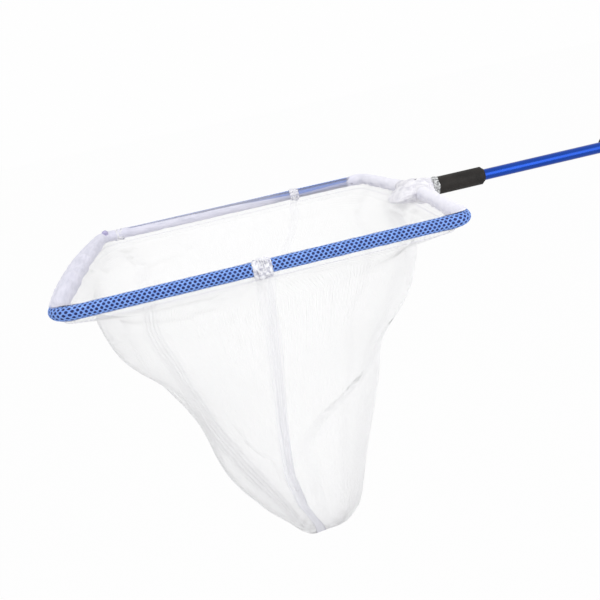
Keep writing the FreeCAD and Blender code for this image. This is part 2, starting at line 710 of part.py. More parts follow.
def net_bag():
    """The two halves of the bag, the tape on their seam and the band under the edge."""
    inward = "-Sizes.net_wall"
    outward = "Sizes.seam_tape_wall"
    outside = net_envelope("net_outside", "0")
    inside = net_envelope("net_inside", inward, inward)
    over = net_envelope("net_tape_envelope", outward, outward)
    shell = cut("net_shell", outside, inside)
    half = "Sizes.seam_tape_width / 2"
    far_side = seam_prism("net_far_side", "-Sizes.hoop_length", "0")
    left = common("net_left_half", shell, far_side)
    right = cut("net_right_half", shell, far_side)
    skin = cut("net_skin", over, outside)
    tape_zone = seam_prism("net_tape_zone", f"-{half}", half)
    band_top = "Sizes.hem_band_top"
    band_bottom = f"({band_top} + Sizes.hem_band_height)"
    reach = f"({HALF_LENGTH} + 2 * Sizes.neck_reach)"
    band_box = block(
        "hem_band_box",
        (f"{HOOP} - {reach}", f"-{reach}", f"-{band_bottom}"),
        (f"2 * {reach}", f"2 * {reach}", "Sizes.hem_band_height"),
    )
    band = common("hem_band_ring", skin, band_box)
    bottom = f"(Sizes.net_depth_{NET_SECTIONS} + {TOOL_MARGIN})"
    tape_box = block(
        "tape_box",
        (f"{HOOP} - {reach}", f"-{reach}", f"-{bottom}"),
        (f"2 * {reach}", f"2 * {reach}", f"{bottom} - {band_bottom}"),
    )
    strip = common("seam_tape_strip", skin, tape_zone)
    tape = common("seam_tape_below_band", strip, tape_box)
    return outside, [
        named(left, "net_left_panel"),
        named(right, "net_right_panel"),
        named(tape, "seam_tape"),
        named(band, "net_hem_band"),
    ]


def tie(label, x, length, side, net):
    """Gathered mesh and thread wound round the guard."""
    y = HALF_WIDTH if side > 0 else f"-{HALF_WIDTH}"
    start = f"{HOOP} + {x} - {length} / 2"
    ring = tube(f"{label}_ring", start, length, f"{GUARD_OUTER} + Sizes.tie_wall", GUARD_OUTER, y)
    return named(cut(f"{label}_wrap", ring, net), label)


# The neck: bunched mesh, ferrule, and the wire ends in the pole.

def tang_space(name, start, length, clearance):
    """The space that the two wire ends take, side by side, with a clearance."""
    radius = f"(Sizes.hoop_wire_diameter / 2 + {clearance})"
    upper = rod(f"{name}_upper", start, length, radius, TANG_OFFSET)
    lower = rod(f"{name}_lower", start, length, radius, f"-{TANG_OFFSET}")
    middle = block(
        f"{name}_middle",
        (start, f"-{TANG_OFFSET}", f"-{radius}"),
        (length, f"2 * {TANG_OFFSET}", f"2 * {radius}"),
    )
    return fuse(name, upper, lower, middle)


def neck(runs, wire):
    ferrule_bore = "(Sizes.ferrule_radius - Sizes.ferrule_wall)"
    front = f"({FERRULE_FRONT} - Sizes.gather_length)"
    whole = "Sizes.gather_length + Sizes.gather_tuck"
    bunch = turned(
        "gather_bunch",
        f"{HOOP} + {front}",
        [
            ("0", "0"),
            ("0", "Sizes.gather_radius - Sizes.gather_lip"),
            ("Sizes.gather_lip", "Sizes.gather_radius"),
            ("Sizes.gather_length / 2", "Sizes.gather_radius"),
            ("Sizes.gather_length", ferrule_bore),
            (whole, ferrule_bore),
            (whole, "0"),
        ],
    )
    envelopes = [
        round_run(f"envelope_{key}", runs[key], GUARD_OUTER)
        for key in ("front_right", "back_right")
    ]
    tang_core = tang_space(
        "gather_core", f"{HOOP} + {NECK_CENTRE_X}", f"{TANG_END} - {NECK_CENTRE_X}", "0"
    )
    taken = fuse("gather_taken", wire, tang_core, *envelopes)
    gather = named(cut("gather_shape", bunch, taken), "neck_gather")
    ferrule = turned(
        "ferrule_sleeve",
        f"{HOOP} + {FERRULE_FRONT}",
        [
            ("0", ferrule_bore),
            ("0", "Sizes.ferrule_radius"),
            ("Sizes.ferrule_length - Sizes.ferrule_chamfer", "Sizes.ferrule_radius"),
            ("Sizes.ferrule_length", "Sizes.ferrule_radius - Sizes.ferrule_chamfer"),
            ("Sizes.ferrule_length", ferrule_bore),
        ],
    )
    bush = turned(
        "ferrule_bush",
        f"{HOOP} + {FERRULE_REAR} - Sizes.bush_length",
        [
            ("0", "Sizes.tip_radius"),
            ("0", ferrule_bore),
            ("Sizes.bush_length + Sizes.bush_lip", ferrule_bore),
            ("Sizes.bush_length + Sizes.bush_lip", "Sizes.tip_radius"),
        ],
    )
    tube_bore = "(Sizes.tip_radius - Sizes.tube_wall)"
    plug_blank = rod("tang_plug_blank", TIP_FRONT, "Sizes.tang_depth", tube_bore)
    channel = tang_space("tang_channel", TIP_FRONT, "Sizes.tang_depth", "Sizes.edge_clearance")
    plug = named(cut("tang_plug_shape", plug_blank, channel), "tang_plug")
    return [gather, ferrule, bush, plug]


# The pole: three tubes, each mouth with a collar and each joint with a twist lock.

def collar(label, front, outer_tube, inner_tube):
    """A fluted collar on the mouth of a tube, with a sliding bore for the next one."""
    outer = f"({outer_tube} + Sizes.collar_wall)"
    bore = f"({inner_tube} + Sizes.slide_clearance)"
    rim = f"({outer} - Sizes.collar_chamfer)"
    length = "Sizes.collar_length"
    body = turned(
        label,
        front,
        [
            ("0", bore),
            ("0", rim),
            ("Sizes.collar_chamfer", outer),
            (f"{length} - Sizes.collar_chamfer", outer),
            (length, rim),
            (length, outer_tube),
            ("Sizes.collar_mouth", outer_tube),
            ("Sizes.collar_mouth", bore),
        ],
    )
    doc.recompute()
    flute_outline = body_outline(body, f"{label}_flute_outline", "YZ_Plane")
    radius = "Sizes.collar_flute_radius"
    middle = f"{outer} + {radius} - Sizes.collar_flute_depth"
    start = FreeCAD.Vector(0, value_of(middle), 0)
    ring = Part.Circle(start, FreeCAD.Vector(0, 0, 1), value_of(radius))
    flute = flute_outline.sketch.addGeometry(ring, False)
    flute_outline.size("Radius", radius, flute)
    flute_outline.at(flute, CENTRE, x="0", y=middle)
    pocket = body.newObject("PartDesign::Pocket", f"{label}_flute")
    pocket.Profile = flute_outline.sketch
    pocket.Type = "ThroughAll"
    pocket.Midplane = True
    pattern = body.newObject("PartDesign::PolarPattern", f"{label}_flutes")
    pattern.Originals = [pocket]
    axes = [f for f in body.Origin.OriginFeatures if f.Role == "X_Axis"]
    pattern.Axis = (axes[0], [""])
    pattern.Angle = 360
    pattern.Occurrences = int(value_of("Sizes.collar_flutes"))
    bind(pattern, Occurrences="Sizes.collar_flutes")
    body.Tip = pattern
    return body


def twist_lock(stage, tube_end, inner_tube, outer_tube):
    """Screw plug, expander and cone nut at the inner end of a tube."""
    inner_bore = f"({inner_tube} - Sizes.tube_wall)"
    outer_bore = f"({outer_tube} - Sizes.tube_wall)"
    flange = f"({outer_bore} - Sizes.plug_flange_gap)"
    screw_start = "Sizes.plug_depth + Sizes.plug_flange"
    plug = turned(
        f"{stage}_screw_plug",
        f"{tube_end} - Sizes.plug_depth",
        [
            ("0", "0"),
            ("0", inner_bore),
            ("Sizes.plug_depth", inner_bore),
            ("Sizes.plug_depth", flange),
            (screw_start, flange),
            (screw_start, "Sizes.screw_radius"),
            (f"{screw_start} + Sizes.screw_length", "Sizes.screw_radius"),
            (f"{screw_start} + Sizes.screw_length", "0"),
        ],
    )
    expander_front = f"({tube_end} + Sizes.plug_flange + Sizes.expander_gap)"
    sleeve = f"({outer_bore} - Sizes.slide_clearance)"
    floor = "Sizes.expander_floor"
    length = "Sizes.expander_length"
    narrow = "(Sizes.cone_small_radius + Sizes.cone_clearance)"
    wide = f"({sleeve} - Sizes.cone_wall)"
    blank = turned(
        f"{stage}_expander_blank",
        expander_front,
        [
            ("0", "Sizes.screw_radius + Sizes.cone_clearance"),
            ("0", sleeve),
            (length, sleeve),
            (length, wide),
            (floor, narrow),
            (floor, "Sizes.screw_radius + Sizes.cone_clearance"),
        ],
    )
    slit = block(
        f"{stage}_expander_slit",
        (f"{expander_front} - {CUT_PAST}", "-Sizes.expander_slit / 2", "0"),
        (f"{length} + 2 * {CUT_PAST}", "Sizes.expander_slit", f"{sleeve} + {CUT_PAST}"),
    )
    expander = named(cut(f"{stage}_expander_sleeve", blank, slit), f"{stage}_expander")
    slope = f"(({wide} - {narrow}) / ({length} - {floor}))"
    small = f"(Sizes.cone_small_radius + {slope} * Sizes.cone_clearance)"
    large = f"({small} + {slope} * Sizes.cone_length)"
    bore = "(Sizes.screw_radius + Sizes.screw_clearance)"
    cone = turned(
        f"{stage}_cone_nut",
        f"{expander_front} + {floor} + Sizes.cone_clearance",
        [
            ("0", bore),
            ("0", small),
            ("Sizes.cone_length", large),
            ("Sizes.cone_length", bore),
        ],
    )
    return [plug, expander, cone]


def pole():
    tip_bore = "Sizes.tip_radius - Sizes.tube_wall"
    middle_bore = "Sizes.middle_radius - Sizes.tube_wall"
    handle_bore = "(Sizes.handle_radius - Sizes.tube_wall)"
    tip = tube("tip_tube_shape", TIP_FRONT, "Sizes.tip_length", "Sizes.tip_radius", tip_bore)
    middle = tube(
        "middle_tube_shape",
        MIDDLE_FRONT,
        "Sizes.middle_length",
        "Sizes.middle_radius",
        middle_bore,
    )
    handle = tube(
        "handle_tube_shape",
        HANDLE_FRONT,
        f"{HANDLE_END} - {HANDLE_FRONT}",
        "Sizes.handle_radius",
        handle_bore,
    )
    grip = turned(
        "handle_grip",
        "-Sizes.grip_length / 2",
        [
            ("0", "Sizes.handle_radius"),
            ("0", "Sizes.grip_radius"),
            ("Sizes.grip_bead / 2", "Sizes.grip_radius + Sizes.grip_flare"),
            ("Sizes.grip_bead", "Sizes.grip_radius"),
            ("Sizes.grip_length", "Sizes.grip_radius"),
            ("Sizes.grip_length", "Sizes.handle_radius"),
        ],
    )
    spigot_bore = f"{handle_bore} - Sizes.cap_plug_wall"
    cap_outer = "(Sizes.handle_radius + Sizes.cap_wall)"
    cap_blank = turned(
        "end_cap_blank",
        HANDLE_END,
        [
            ("-Sizes.cap_plug_depth", spigot_bore),
            ("-Sizes.cap_plug_depth", handle_bore),
            ("0", handle_bore),
            ("0", "Sizes.handle_radius"),
            ("-Sizes.cap_length", "Sizes.handle_radius"),
            ("-Sizes.cap_length", cap_outer),
            ("Sizes.cap_floor - Sizes.cap_bevel", cap_outer),
            ("Sizes.cap_floor", f"{cap_outer} - Sizes.cap_bevel"),
            ("Sizes.cap_floor", "0"),
            ("0", "0"),
            ("0", spigot_bore),
        ],
    )
    return [
        named(tip, "tip_tube"),
        named(middle, "middle_tube"),
        named(handle, "handle_tube"),
        collar("middle_collar", MIDDLE_COLLAR_FRONT, "Sizes.middle_radius", "Sizes.tip_radius"),
        collar("handle_collar", HANDLE_COLLAR_FRONT, "Sizes.handle_radius", "Sizes.middle_radius"),
        *twist_lock("tip", TIP_END, "Sizes.tip_radius", "Sizes.middle_radius"),
        *twist_lock("middle", MIDDLE_END, "Sizes.middle_radius", "Sizes.handle_radius"),
        grip,
        end_cap(cap_blank),
    ]


def end_cap(blank):
    """The cap on the hand end, with a flat eye to hang the net by."""
    back = f"({HANDLE_END} + Sizes.cap_floor)"
    centre = f"({back} + Sizes.eye_reach)"
    across = FreeCAD.Rotation(FreeCAD.Vector(1, 0, 0), -90)
    eye = doc.addObject("Part::Cylinder", "end_cap_eye")
    hole = doc.addObject("Part::Cylinder", "end_cap_hole")
    for solid, radius in ((eye, "Sizes.eye_radius"), (hole, "Sizes.eye_hole_radius")):
        place(solid, x=centre, y="-Sizes.eye_thickness / 2", turn=across)
        bind(solid, Radius=radius, Height="Sizes.eye_thickness")
    web = block(
        "end_cap_web",
        (f"{back} - {CUT_PAST}", "-Sizes.eye_thickness / 2", "-Sizes.eye_radius"),
        (f"Sizes.eye_reach + {CUT_PAST}", "Sizes.eye_thickness", "2 * Sizes.eye_radius"),
    )
    whole = fuse("end_cap_whole", blank, eye, web)
    return named(cut("end_cap_shape", whole, hole), "end_cap")


def all_pieces():
    wire = hoop_wire()
    runs = {
        "left": (left_run(), FRONT_TIE_X, -1),
        "front_right": (near_run("front_right_run_path", -1, FRONT_TIE_X), FRONT_TIE_X, -1),
        "back_right": (near_run("back_right_run_path", 1, BACK_TIE_X), BACK_TIE_X, 1),
    }
    net_outside, net_pieces = net_bag()
    ties = [
        tie("front_tie", FRONT_TIE_X, "Sizes.front_tie_length", -1, net_outside),
        tie("back_tie", BACK_TIE_X, "Sizes.back_tie_length", 1, net_outside),
        tie("corner_tie", CORNER_TIE_X, "Sizes.corner_tie_length", 1, net_outside),
    ]
    return [wire, *padded_edge(runs), *net_pieces, *ties, *neck(runs, wire), *pole()]


pieces = all_pieces()
doc.recompute()
faults = []
for thing in doc.Objects:
    if {"Invalid", "Error"} & set(thing.State):
        faults.append(f"{thing.Name}: {thing.State}")
for piece in pieces:
    if piece.Shape.isNull() or not piece.Shape.isValid():
        faults.append(f"{piece.Label}: no valid shape")
if faults:
    raise RuntimeError("; ".join(faults))

os.makedirs("parts", exist_ok=True)
for piece in pieces:
    piece.Shape.exportStep(f"parts/{piece.Label}.step")
    box = piece.Shape.BoundBox
    print(
        f"{piece.Label}: {len(piece.Shape.Solids)} solid, {piece.Shape.Volume:.0f} mm3,"
        f" x {box.XMin:.1f} to {box.XMax:.1f}, z {box.ZMin:.1f} to {box.ZMax:.1f}"
    )
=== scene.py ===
import math

import bpy
from mathutils import Matrix, Vector, noise


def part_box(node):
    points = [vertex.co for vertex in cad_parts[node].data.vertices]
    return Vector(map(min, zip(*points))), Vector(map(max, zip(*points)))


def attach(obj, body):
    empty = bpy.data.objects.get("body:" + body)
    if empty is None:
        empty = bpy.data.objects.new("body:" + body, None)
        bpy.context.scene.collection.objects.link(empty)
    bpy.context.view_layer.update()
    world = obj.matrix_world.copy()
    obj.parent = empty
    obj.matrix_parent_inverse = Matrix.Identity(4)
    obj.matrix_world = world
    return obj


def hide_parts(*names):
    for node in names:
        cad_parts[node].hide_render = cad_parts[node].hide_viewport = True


# The looks of a hand-held leaf skimmer net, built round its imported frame. All lengths are in metres.

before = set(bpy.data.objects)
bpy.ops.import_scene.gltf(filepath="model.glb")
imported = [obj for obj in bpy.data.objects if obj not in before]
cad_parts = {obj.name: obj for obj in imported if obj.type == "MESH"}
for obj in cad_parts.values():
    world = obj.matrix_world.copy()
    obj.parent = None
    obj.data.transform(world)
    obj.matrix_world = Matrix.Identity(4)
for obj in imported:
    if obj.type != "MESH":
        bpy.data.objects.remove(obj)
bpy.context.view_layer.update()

MM = 0.001
HEAD = "head"
UP = Vector((0, 0, 1))

# Places and sizes that the frame gives.
guard_low, guard_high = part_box("edge_guard_left")
EDGE_R = guard_high.z
HALF = -guard_low.y - EDGE_R
FAR_BOW = 8 * MM
CENTRE_X = guard_low.x + EDGE_R + FAR_BOW + HALF
BEND_R = 14 * MM
NECK_BEND_R = 8 * MM
NECK_Y = 2.05 * MM
CORNER_X = CENTRE_X + 148.7 * MM
NECK_X = CENTRE_X + 162.8 * MM
FERRULE_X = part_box("ferrule_sleeve")[0].x
ARM_END_X = CENTRE_X + 176 * MM


def middle(node):
    low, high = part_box(node)
    return (low + high) / 2


FRONT_TIE_X = middle("front_tie").x
BACK_TIE_X = middle("back_tie").x
CORNER_TIE_X = middle("corner_tie").x


# Mesh helpers.

def make_mesh(name, points, faces, uvs=None, fields=None, smooth=True):
    """An object from points and faces. Each point may have a (u, v) in millimetres and named values."""
    mesh = bpy.data.meshes.new(name)
    mesh.from_pydata([tuple(p) for p in points], [], faces)
    if uvs is not None:
        layer = mesh.uv_layers.new(name="cloth_mm")
        for loop in mesh.loops:
            layer.data[loop.index].uv = uvs[loop.vertex_index]
    for field, values in (fields or {}).items():
        mesh.attributes.new(field, "FLOAT", "POINT").data.foreach_set("value", values)
    mesh.validate()
    for polygon in mesh.polygons:
        polygon.use_smooth = smooth
    thing = bpy.data.objects.new(name, mesh)
    bpy.context.scene.collection.objects.link(thing)
    return thing


def grid(name, rows, closed=False, across=None, **field_rows):
    """A surface through rows of points.

    across may hold each column's place on the flat cloth, in millimetres.
    """
    wide = len(rows[0])
    points, uvs, faces = [], [], []
    down = 0.0
    for r, row in enumerate(rows):
        if r:
            down += (row[wide // 2] - rows[r - 1][wide // 2]).length
        along = 0.0
        for c, point in enumerate(row):
            if c:
                along += (point - row[c - 1]).length
            points.append(point)
            uvs.append((across[c] if across else along / MM, down / MM))
    for r in range(len(rows) - 1):
        for c in range(wide if closed else wide - 1):
            a = r * wide + c
            b = r * wide + (c + 1) % wide
            faces.append((a, b, b + wide, a + wide))
    fields = {field: [v for row in values for v in row] for field, values in field_rows.items()}
    return make_mesh(name, points, faces, uvs, fields)


def add_piece(thing, material, body=HEAD, nodes=()):
    thing.data.materials.append(material)
    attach(thing, body)
    if nodes:
        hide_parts(*nodes)
    return thing


def wobble(point, scale, seed=0.0):
    """Smooth noise from -1 to 1 at a point, with features of about the given size."""
    return noise.noise(point / scale + Vector((seed, seed * 1.7, -seed)))


# The hoop's centreline, as one polyline from the neck round the hoop and back.

def fillet(before, corner, after, radius, turns=14):
    """Points of the arc that rounds a corner."""
    a, b = (before - corner).normalized(), (after - corner).normalized()
    half = a.angle(b) / 2
    reach = radius / math.tan(half)
    centre = corner + (a + b).normalized() * radius / math.sin(half)
    start = corner + a * reach - centre
    end = corner + b * reach - centre
    sweep = start.angle(end)
    points = []
    for n in range(turns + 1):
        share = n / turns
        p = (start * math.sin((1 - share) * sweep) + end * math.sin(share * sweep))
        points.append(centre + p / math.sin(sweep))
    return points


def hoop_line():
    corners = [
        (Vector((ARM_END_X, -NECK_Y, 0)), 0),
        (Vector((NECK_X, -NECK_Y, 0)), NECK_BEND_R),
        (Vector((CORNER_X, -HALF, 0)), BEND_R),
        (Vector((CENTRE_X - HALF, -HALF, 0)), BEND_R),
        (Vector((CENTRE_X - HALF, HALF, 0)), BEND_R),
        (Vector((CORNER_X, HALF, 0)), BEND_R),
        (Vector((NECK_X, NECK_Y, 0)), NECK_BEND_R),
        (Vector((ARM_END_X, NECK_Y, 0)), 0),
    ]
    points = [corners[0][0]]
    for (a, _), (b, radius), (c, _) in zip(corners, corners[1:], corners[2:]):
        points += fillet(a, b, c, radius)
    points.append(corners[-1][0])
    fine = []
    for a, b in zip(points, points[1:]):
        steps = max(1, int((b - a).length / (2 * MM)))
        fine += [a.lerp(b, n / steps) for n in range(steps)]
    fine.append(points[-1])
    for p in fine:
        if p.x < CENTRE_X - HALF + 1.2 * BEND_R:
            blend = min(1, (CENTRE_X - HALF + 1.2 * BEND_R - p.x) / (1.2 * BEND_R))
            p.x -= FAR_BOW * blend * max(0, 1 - (p.y / HALF) ** 2)
    return fine


class Line:
    """A polyline in the hoop's plane that can be read at any length along it."""

    def __init__(self, points):
        self.points = points
        self.along = [0.0]
        for a, b in zip(points, points[1:]):
            self.along.append(self.along[-1] + (b - a).length)
        self.length = self.along[-1]
        self.hint = 0

    def find(self, s):
        if self.along[self.hint] > s:
            self.hint = 0
        while self.hint < len(self.points) - 2 and self.along[self.hint + 1] < s:
            self.hint += 1
        return self.hint

    def at(self, s):
        """The point, the direction along the line, and the direction out of the hoop."""
        s = min(max(s, 0.0), self.length)
        n = self.find(s)
        share = (s - self.along[n]) / (self.along[n + 1] - self.along[n])
        first, last = max(n - 1, 0), min(n + 2, len(self.points) - 1)
        before = self.points[n] - self.points[first] + self.points[n + 1] - self.points[n]
        after = self.points[n + 1] - self.points[n] + self.points[last] - self.points[n + 1]
        ahead = before.lerp(after, share).normalized()
        return self.points[n].lerp(self.points[n + 1], share), ahead, UP.cross(ahead)

    def where(self, x, y_sign):
        """The length along the line at which it passes an x on the front or back rail."""
        best = min(
            range(len(self.points)),
            key=lambda n: abs(self.points[n].x - x) + (0 if self.points[n].y * y_sign > 0.9 * HALF else 1),
        )
        return self.along[best]


hoop = Line(hoop_line())
S_FRONT_TIE = hoop.where(FRONT_TIE_X, -1)
S_BACK_TIE = hoop.where(BACK_TIE_X, 1)
S_CORNER_TIE = hoop.where(CORNER_TIE_X, 1)
S_NECK_FRONT = 14 * MM
S_NECK_BACK = hoop.length - S_NECK_FRONT


def on_edge(s, angle, radius):
    """A point round the padded edge: angle 0 faces out of the hoop and 90 degrees up."""
    centre, _, out = hoop.at(s)
    return centre + radius * (math.cos(angle) * out + math.sin(angle) * UP)


# Materials.

def material(name):
    made = bpy.data.materials.new(name)
    made.use_nodes = True
    nodes = made.node_tree.nodes
    return made, nodes, made.node_tree.links, nodes["Principled BSDF"]


def mapped_noise(nodes, links, scale, detail=3.0, stretch=(1, 1, 1), source="Object"):
    """Noise in cycles per metre on the object's own coordinates, or per millimetre on the cloth's."""
    if source == "Object":
        place = nodes.new("ShaderNodeTexCoord").outputs["Object"]
    else:
        uv = nodes.new("ShaderNodeUVMap")
        uv.uv_map = source
        place = uv.outputs["UV"]
    mapping = nodes.new("ShaderNodeMapping")
    mapping.inputs["Scale"].default_value = stretch
    texture = nodes.new("ShaderNodeTexNoise")
    texture.inputs["Scale"].default_value = scale
    texture.inputs["Detail"].default_value = detail
    links.new(place, mapping.inputs["Vector"])
    links.new(mapping.outputs["Vector"], texture.inputs["Vector"])
    return texture.outputs["Fac"]


def ramp(nodes, links, value, low, high, start=0.3, end=0.7):
    """Two colours, or two greys, spread over a value."""
    made = nodes.new("ShaderNodeValToRGB")
    for element, place, colour in zip(made.color_ramp.elements, (start, end), (low, high)):
        element.position = place
        element.color = (*colour, 1) if hasattr(colour, "__len__") else (colour, colour, colour, 1)
    links.new(value, made.inputs["Fac"])
    return made.outputs["Color"]


def bump(nodes, links, shader, height, distance, strength=1.0):
    made = nodes.new("ShaderNodeBump")
    made.inputs["Distance"].default_value = distance
    made.inputs["Strength"].default_value = strength
    links.new(height, made.inputs["Height"])
    links.new(made.outputs["Normal"], shader.inputs["Normal"])


def calc(nodes, links, operation, a, b=None, clamp=False):
    node = nodes.new("ShaderNodeMath")
    node.operation = operation
    node.use_clamp = clamp
    for socket, value in zip(node.inputs, (a, b)):
        if isinstance(value, (int, float)):
            socket.default_value = value
        elif value is not None:
            links.new(value, socket)
    return node.outputs["Value"]


def field(nodes, name):
    """A value that the mesh holds at each point."""
    made = nodes.new("ShaderNodeAttribute")
    made.attribute_name = name
    return made.outputs["Fac"]


def enamel(name, dark, light):
    """Glossy metallic paint with a little colour drift and fine scuffs."""
    made, nodes, links, shader = material(name)
    drift = mapped_noise(nodes, links, 35, 4, (0.3, 1, 1))
    links.new(ramp(nodes, links, drift, dark, light), shader.inputs["Base Color"])
    scuffs = mapped_noise(nodes, links, 900, 6, (0.06, 1, 1))
    links.new(ramp(nodes, links, scuffs, 0.22, 0.32), shader.inputs["Roughness"])
    bump(nodes, links, shader, scuffs, 0.004 * MM, 0.2)
    shader.inputs["Metallic"].default_value = 0.88
    shader.inputs["Coat Weight"].default_value = 0.2
    shader.inputs["Coat Roughness"].default_value = 0.12
    return made


def moulded(name, dark, light, roughness, grain, depth, gloss=0.5):
    """Rubber or plastic with a moulded grain."""
    made, nodes, links, shader = material(name)
    drift = mapped_noise(nodes, links, 90, 5)
    links.new(ramp(nodes, links, drift, dark, light), shader.inputs["Base Color"])
    skin = mapped_noise(nodes, links, grain, 4)
    links.new(ramp(nodes, links, skin, roughness - 0.08, roughness + 0.1), shader.inputs["Roughness"])
    bump(nodes, links, shader, skin, depth)
    shader.inputs["Specular IOR Level"].default_value = gloss
    return made


def steel(name):
    made, nodes, links, shader = material(name)
    drawn = mapped_noise(nodes, links, 700, 4, (0.05, 1, 1))
    links.new(ramp(nodes, links, drawn, 0.25, 0.45), shader.inputs["Roughness"])
    links.new(ramp(nodes, links, drawn, (0.45, 0.46, 0.48), (0.62, 0.63, 0.65)), shader.inputs["Base Color"])
    shader.inputs["Metallic"].default_value = 1.0
    return made


def strands(nodes, links, axis, pitch, thread, gather=None):
    """1 on the threads that cross one axis of the flat cloth; gathered cloth shows them closer together."""
    uv = nodes.new("ShaderNodeUVMap")
    uv.uv_map = "cloth_mm"
    split = nodes.new("ShaderNodeSeparateXYZ")
    links.new(uv.outputs["UV"], split.inputs["Vector"])
    cycle = calc(nodes, links, "FRACT", calc(nodes, links, "DIVIDE", split.outputs[axis], pitch))
    share = thread / pitch
    if gather is not None:
        share = calc(nodes, links, "MULTIPLY", gather, share)
    return calc(nodes, links, "LESS_THAN", cycle, share)


# The gather from which, and the span over which, net takes its bunched colour: painted shade.
BUNCHED_FROM, BUNCHED_SPAN = 2.0, 9.0


def net_cloth(name, dark, light, pitch, thread, sheer, solid, bunched=None):
    """Fine white net. sheer and solid are how opaque it is between its threads and on them.

    The mesh's own "gather" says how many times closer than flat its threads lie, and "veil" thins it. Where
    it is gathered, its colour is mixed toward bunched, a painted shade of the packed layers.
    """
    made, nodes, links, shader = material(name)
    gather, veil = field(nodes, "gather"), field(nodes, "veil")
    drift = mapped_noise(nodes, links, 0.35, 3, (1, 0.12, 1), "cloth_mm")
    colour = ramp(nodes, links, drift, dark, light)
    # bunched is painted shade: gathered cloth is mixed toward it as if its packed layers shaded each other.
    if bunched:
        mix = nodes.new("ShaderNodeMixRGB")
        mix.inputs["Color2"].default_value = (*bunched, 1)
        excess = calc(nodes, links, "SUBTRACT", gather, BUNCHED_FROM)
        thick = calc(nodes, links, "DIVIDE", excess, BUNCHED_SPAN, clamp=True)
        links.new(thick, mix.inputs["Fac"])
        links.new(colour, mix.inputs["Color1"])
        colour = mix.outputs["Color"]
    links.new(colour, shader.inputs["Base Color"])
    threads = calc(
        nodes, links, "MAXIMUM",
        strands(nodes, links, "X", pitch, thread, gather), strands(nodes, links, "Y", pitch, thread),
    )
    span = calc(nodes, links, "MULTIPLY", threads, solid - sheer)
    body = calc(nodes, links, "ADD", span, calc(nodes, links, "MULTIPLY", gather, sheer))
    links.new(calc(nodes, links, "MULTIPLY", body, veil, clamp=True), shader.inputs["Alpha"])
    bump(nodes, links, shader, threads, 0.08 * MM, 0.5)
    shader.inputs["Roughness"].default_value = 0.85
    shader.inputs["Specular IOR Level"].default_value = 0.2
    shader.inputs["Sheen Weight"].default_value = 0.15
    return made


def crumpled(name, dark, light, size):
    """Net bunched up thick: solid, with painted shade in its hollows and a mesh grain."""
    made, nodes, links, shader = material(name)
    # The noise paints the hollows darker than the crests: painted shade on white net.
    folds = mapped_noise(nodes, links, 1 / size, 6)
    links.new(ramp(nodes, links, folds, dark, light, 0.36, 0.58), shader.inputs["Base Color"])
    grain = mapped_noise(nodes, links, 2400, 2)
    bump(nodes, links, shader, grain, 0.25 * MM, 0.7)
    shader.inputs["Roughness"].default_value = 0.8
    shader.inputs["Specular IOR Level"].default_value = 0.2
    shader.inputs["Sheen Weight"].default_value = 0.2
    return made


def yarn(name, dark, light, pitch, sheen=0.3):
    """Soft coloured knit with a fine rib."""
    made, nodes, links, shader = material(name)
    drift = mapped_noise(nodes, links, 400, 4)
    links.new(ramp(nodes, links, drift, dark, light), shader.inputs["Base Color"])
    fibre = mapped_noise(nodes, links, 1000 / pitch, 3)
    bump(nodes, links, shader, fibre, 0.12 * MM, 0.6)
    shader.inputs["Roughness"].default_value = 0.7
    shader.inputs["Sheen Weight"].default_value = sheen
    return made


# The bag's net: its bunched colour is the painted shade of its gathered cloth.
WHITE_NET = net_cloth(
    "white_net", (0.91, 0.91, 0.92), (0.97, 0.97, 0.98), 1.6, 0.085, 0.011, 0.75, bunched=(0.91, 0.90, 0.92)
)
# The hem's lavender-grey is partly the blue hose showing through the net and partly painted shade on white
# net; its bunched colour is the paler painted shade of the net pushed together on the arms.
HEM_NET = net_cloth(
    "hem_net", (0.62, 0.62, 0.72), (0.75, 0.74, 0.84), 1.0, 0.32, 0.80, 1.0, bunched=(0.88, 0.87, 0.94)
)
# The tape's lavender-grey is painted shade on doubled white net, and its bunched colour the deeper painted
# shade of its gathered layers.
TAPE_NET = net_cloth(
    "tape_net", (0.78, 0.78, 0.83), (0.88, 0.88, 0.92), 1.0, 0.14, 0.09, 0.7, bunched=(0.50, 0.50, 0.56)
)
TIE_NET = crumpled("tie_net", (0.40, 0.40, 0.48), (0.85, 0.85, 0.89), 2.4 * MM)
NECK_NET = crumpled("neck_net", (0.66, 0.65, 0.71), (0.83, 0.82, 0.86), 6.0 * MM)
# The ruff's near-black is partly the black ferrule behind the net and partly painted shade in the ferrule's
# mouth.
RUFF_NET = crumpled("ruff_net", (0.09, 0.09, 0.10), (0.66, 0.67, 0.67), 1.7 * MM)
THREAD = yarn("white_thread", (0.78, 0.78, 0.80), (0.92, 0.92, 0.93), 0.4)
WALE_THREAD = yarn("net_thread", (0.91, 0.91, 0.92), (0.97, 0.97, 0.98), 0.3, sheen=0.1)
LILAC_THREAD = yarn("lilac_thread", (0.36, 0.33, 0.54), (0.50, 0.47, 0.68), 0.4)
# The hem stitches' lavender-grey is painted shade on white thread.
HEM_THREAD = yarn("hem_thread", (0.64, 0.62, 0.74), (0.76, 0.74, 0.84), 0.4)
HONEYCOMB = yarn("honeycomb", (0.12, 0.25, 0.68), (0.22, 0.40, 0.88), 0.5, sheen=0.15)
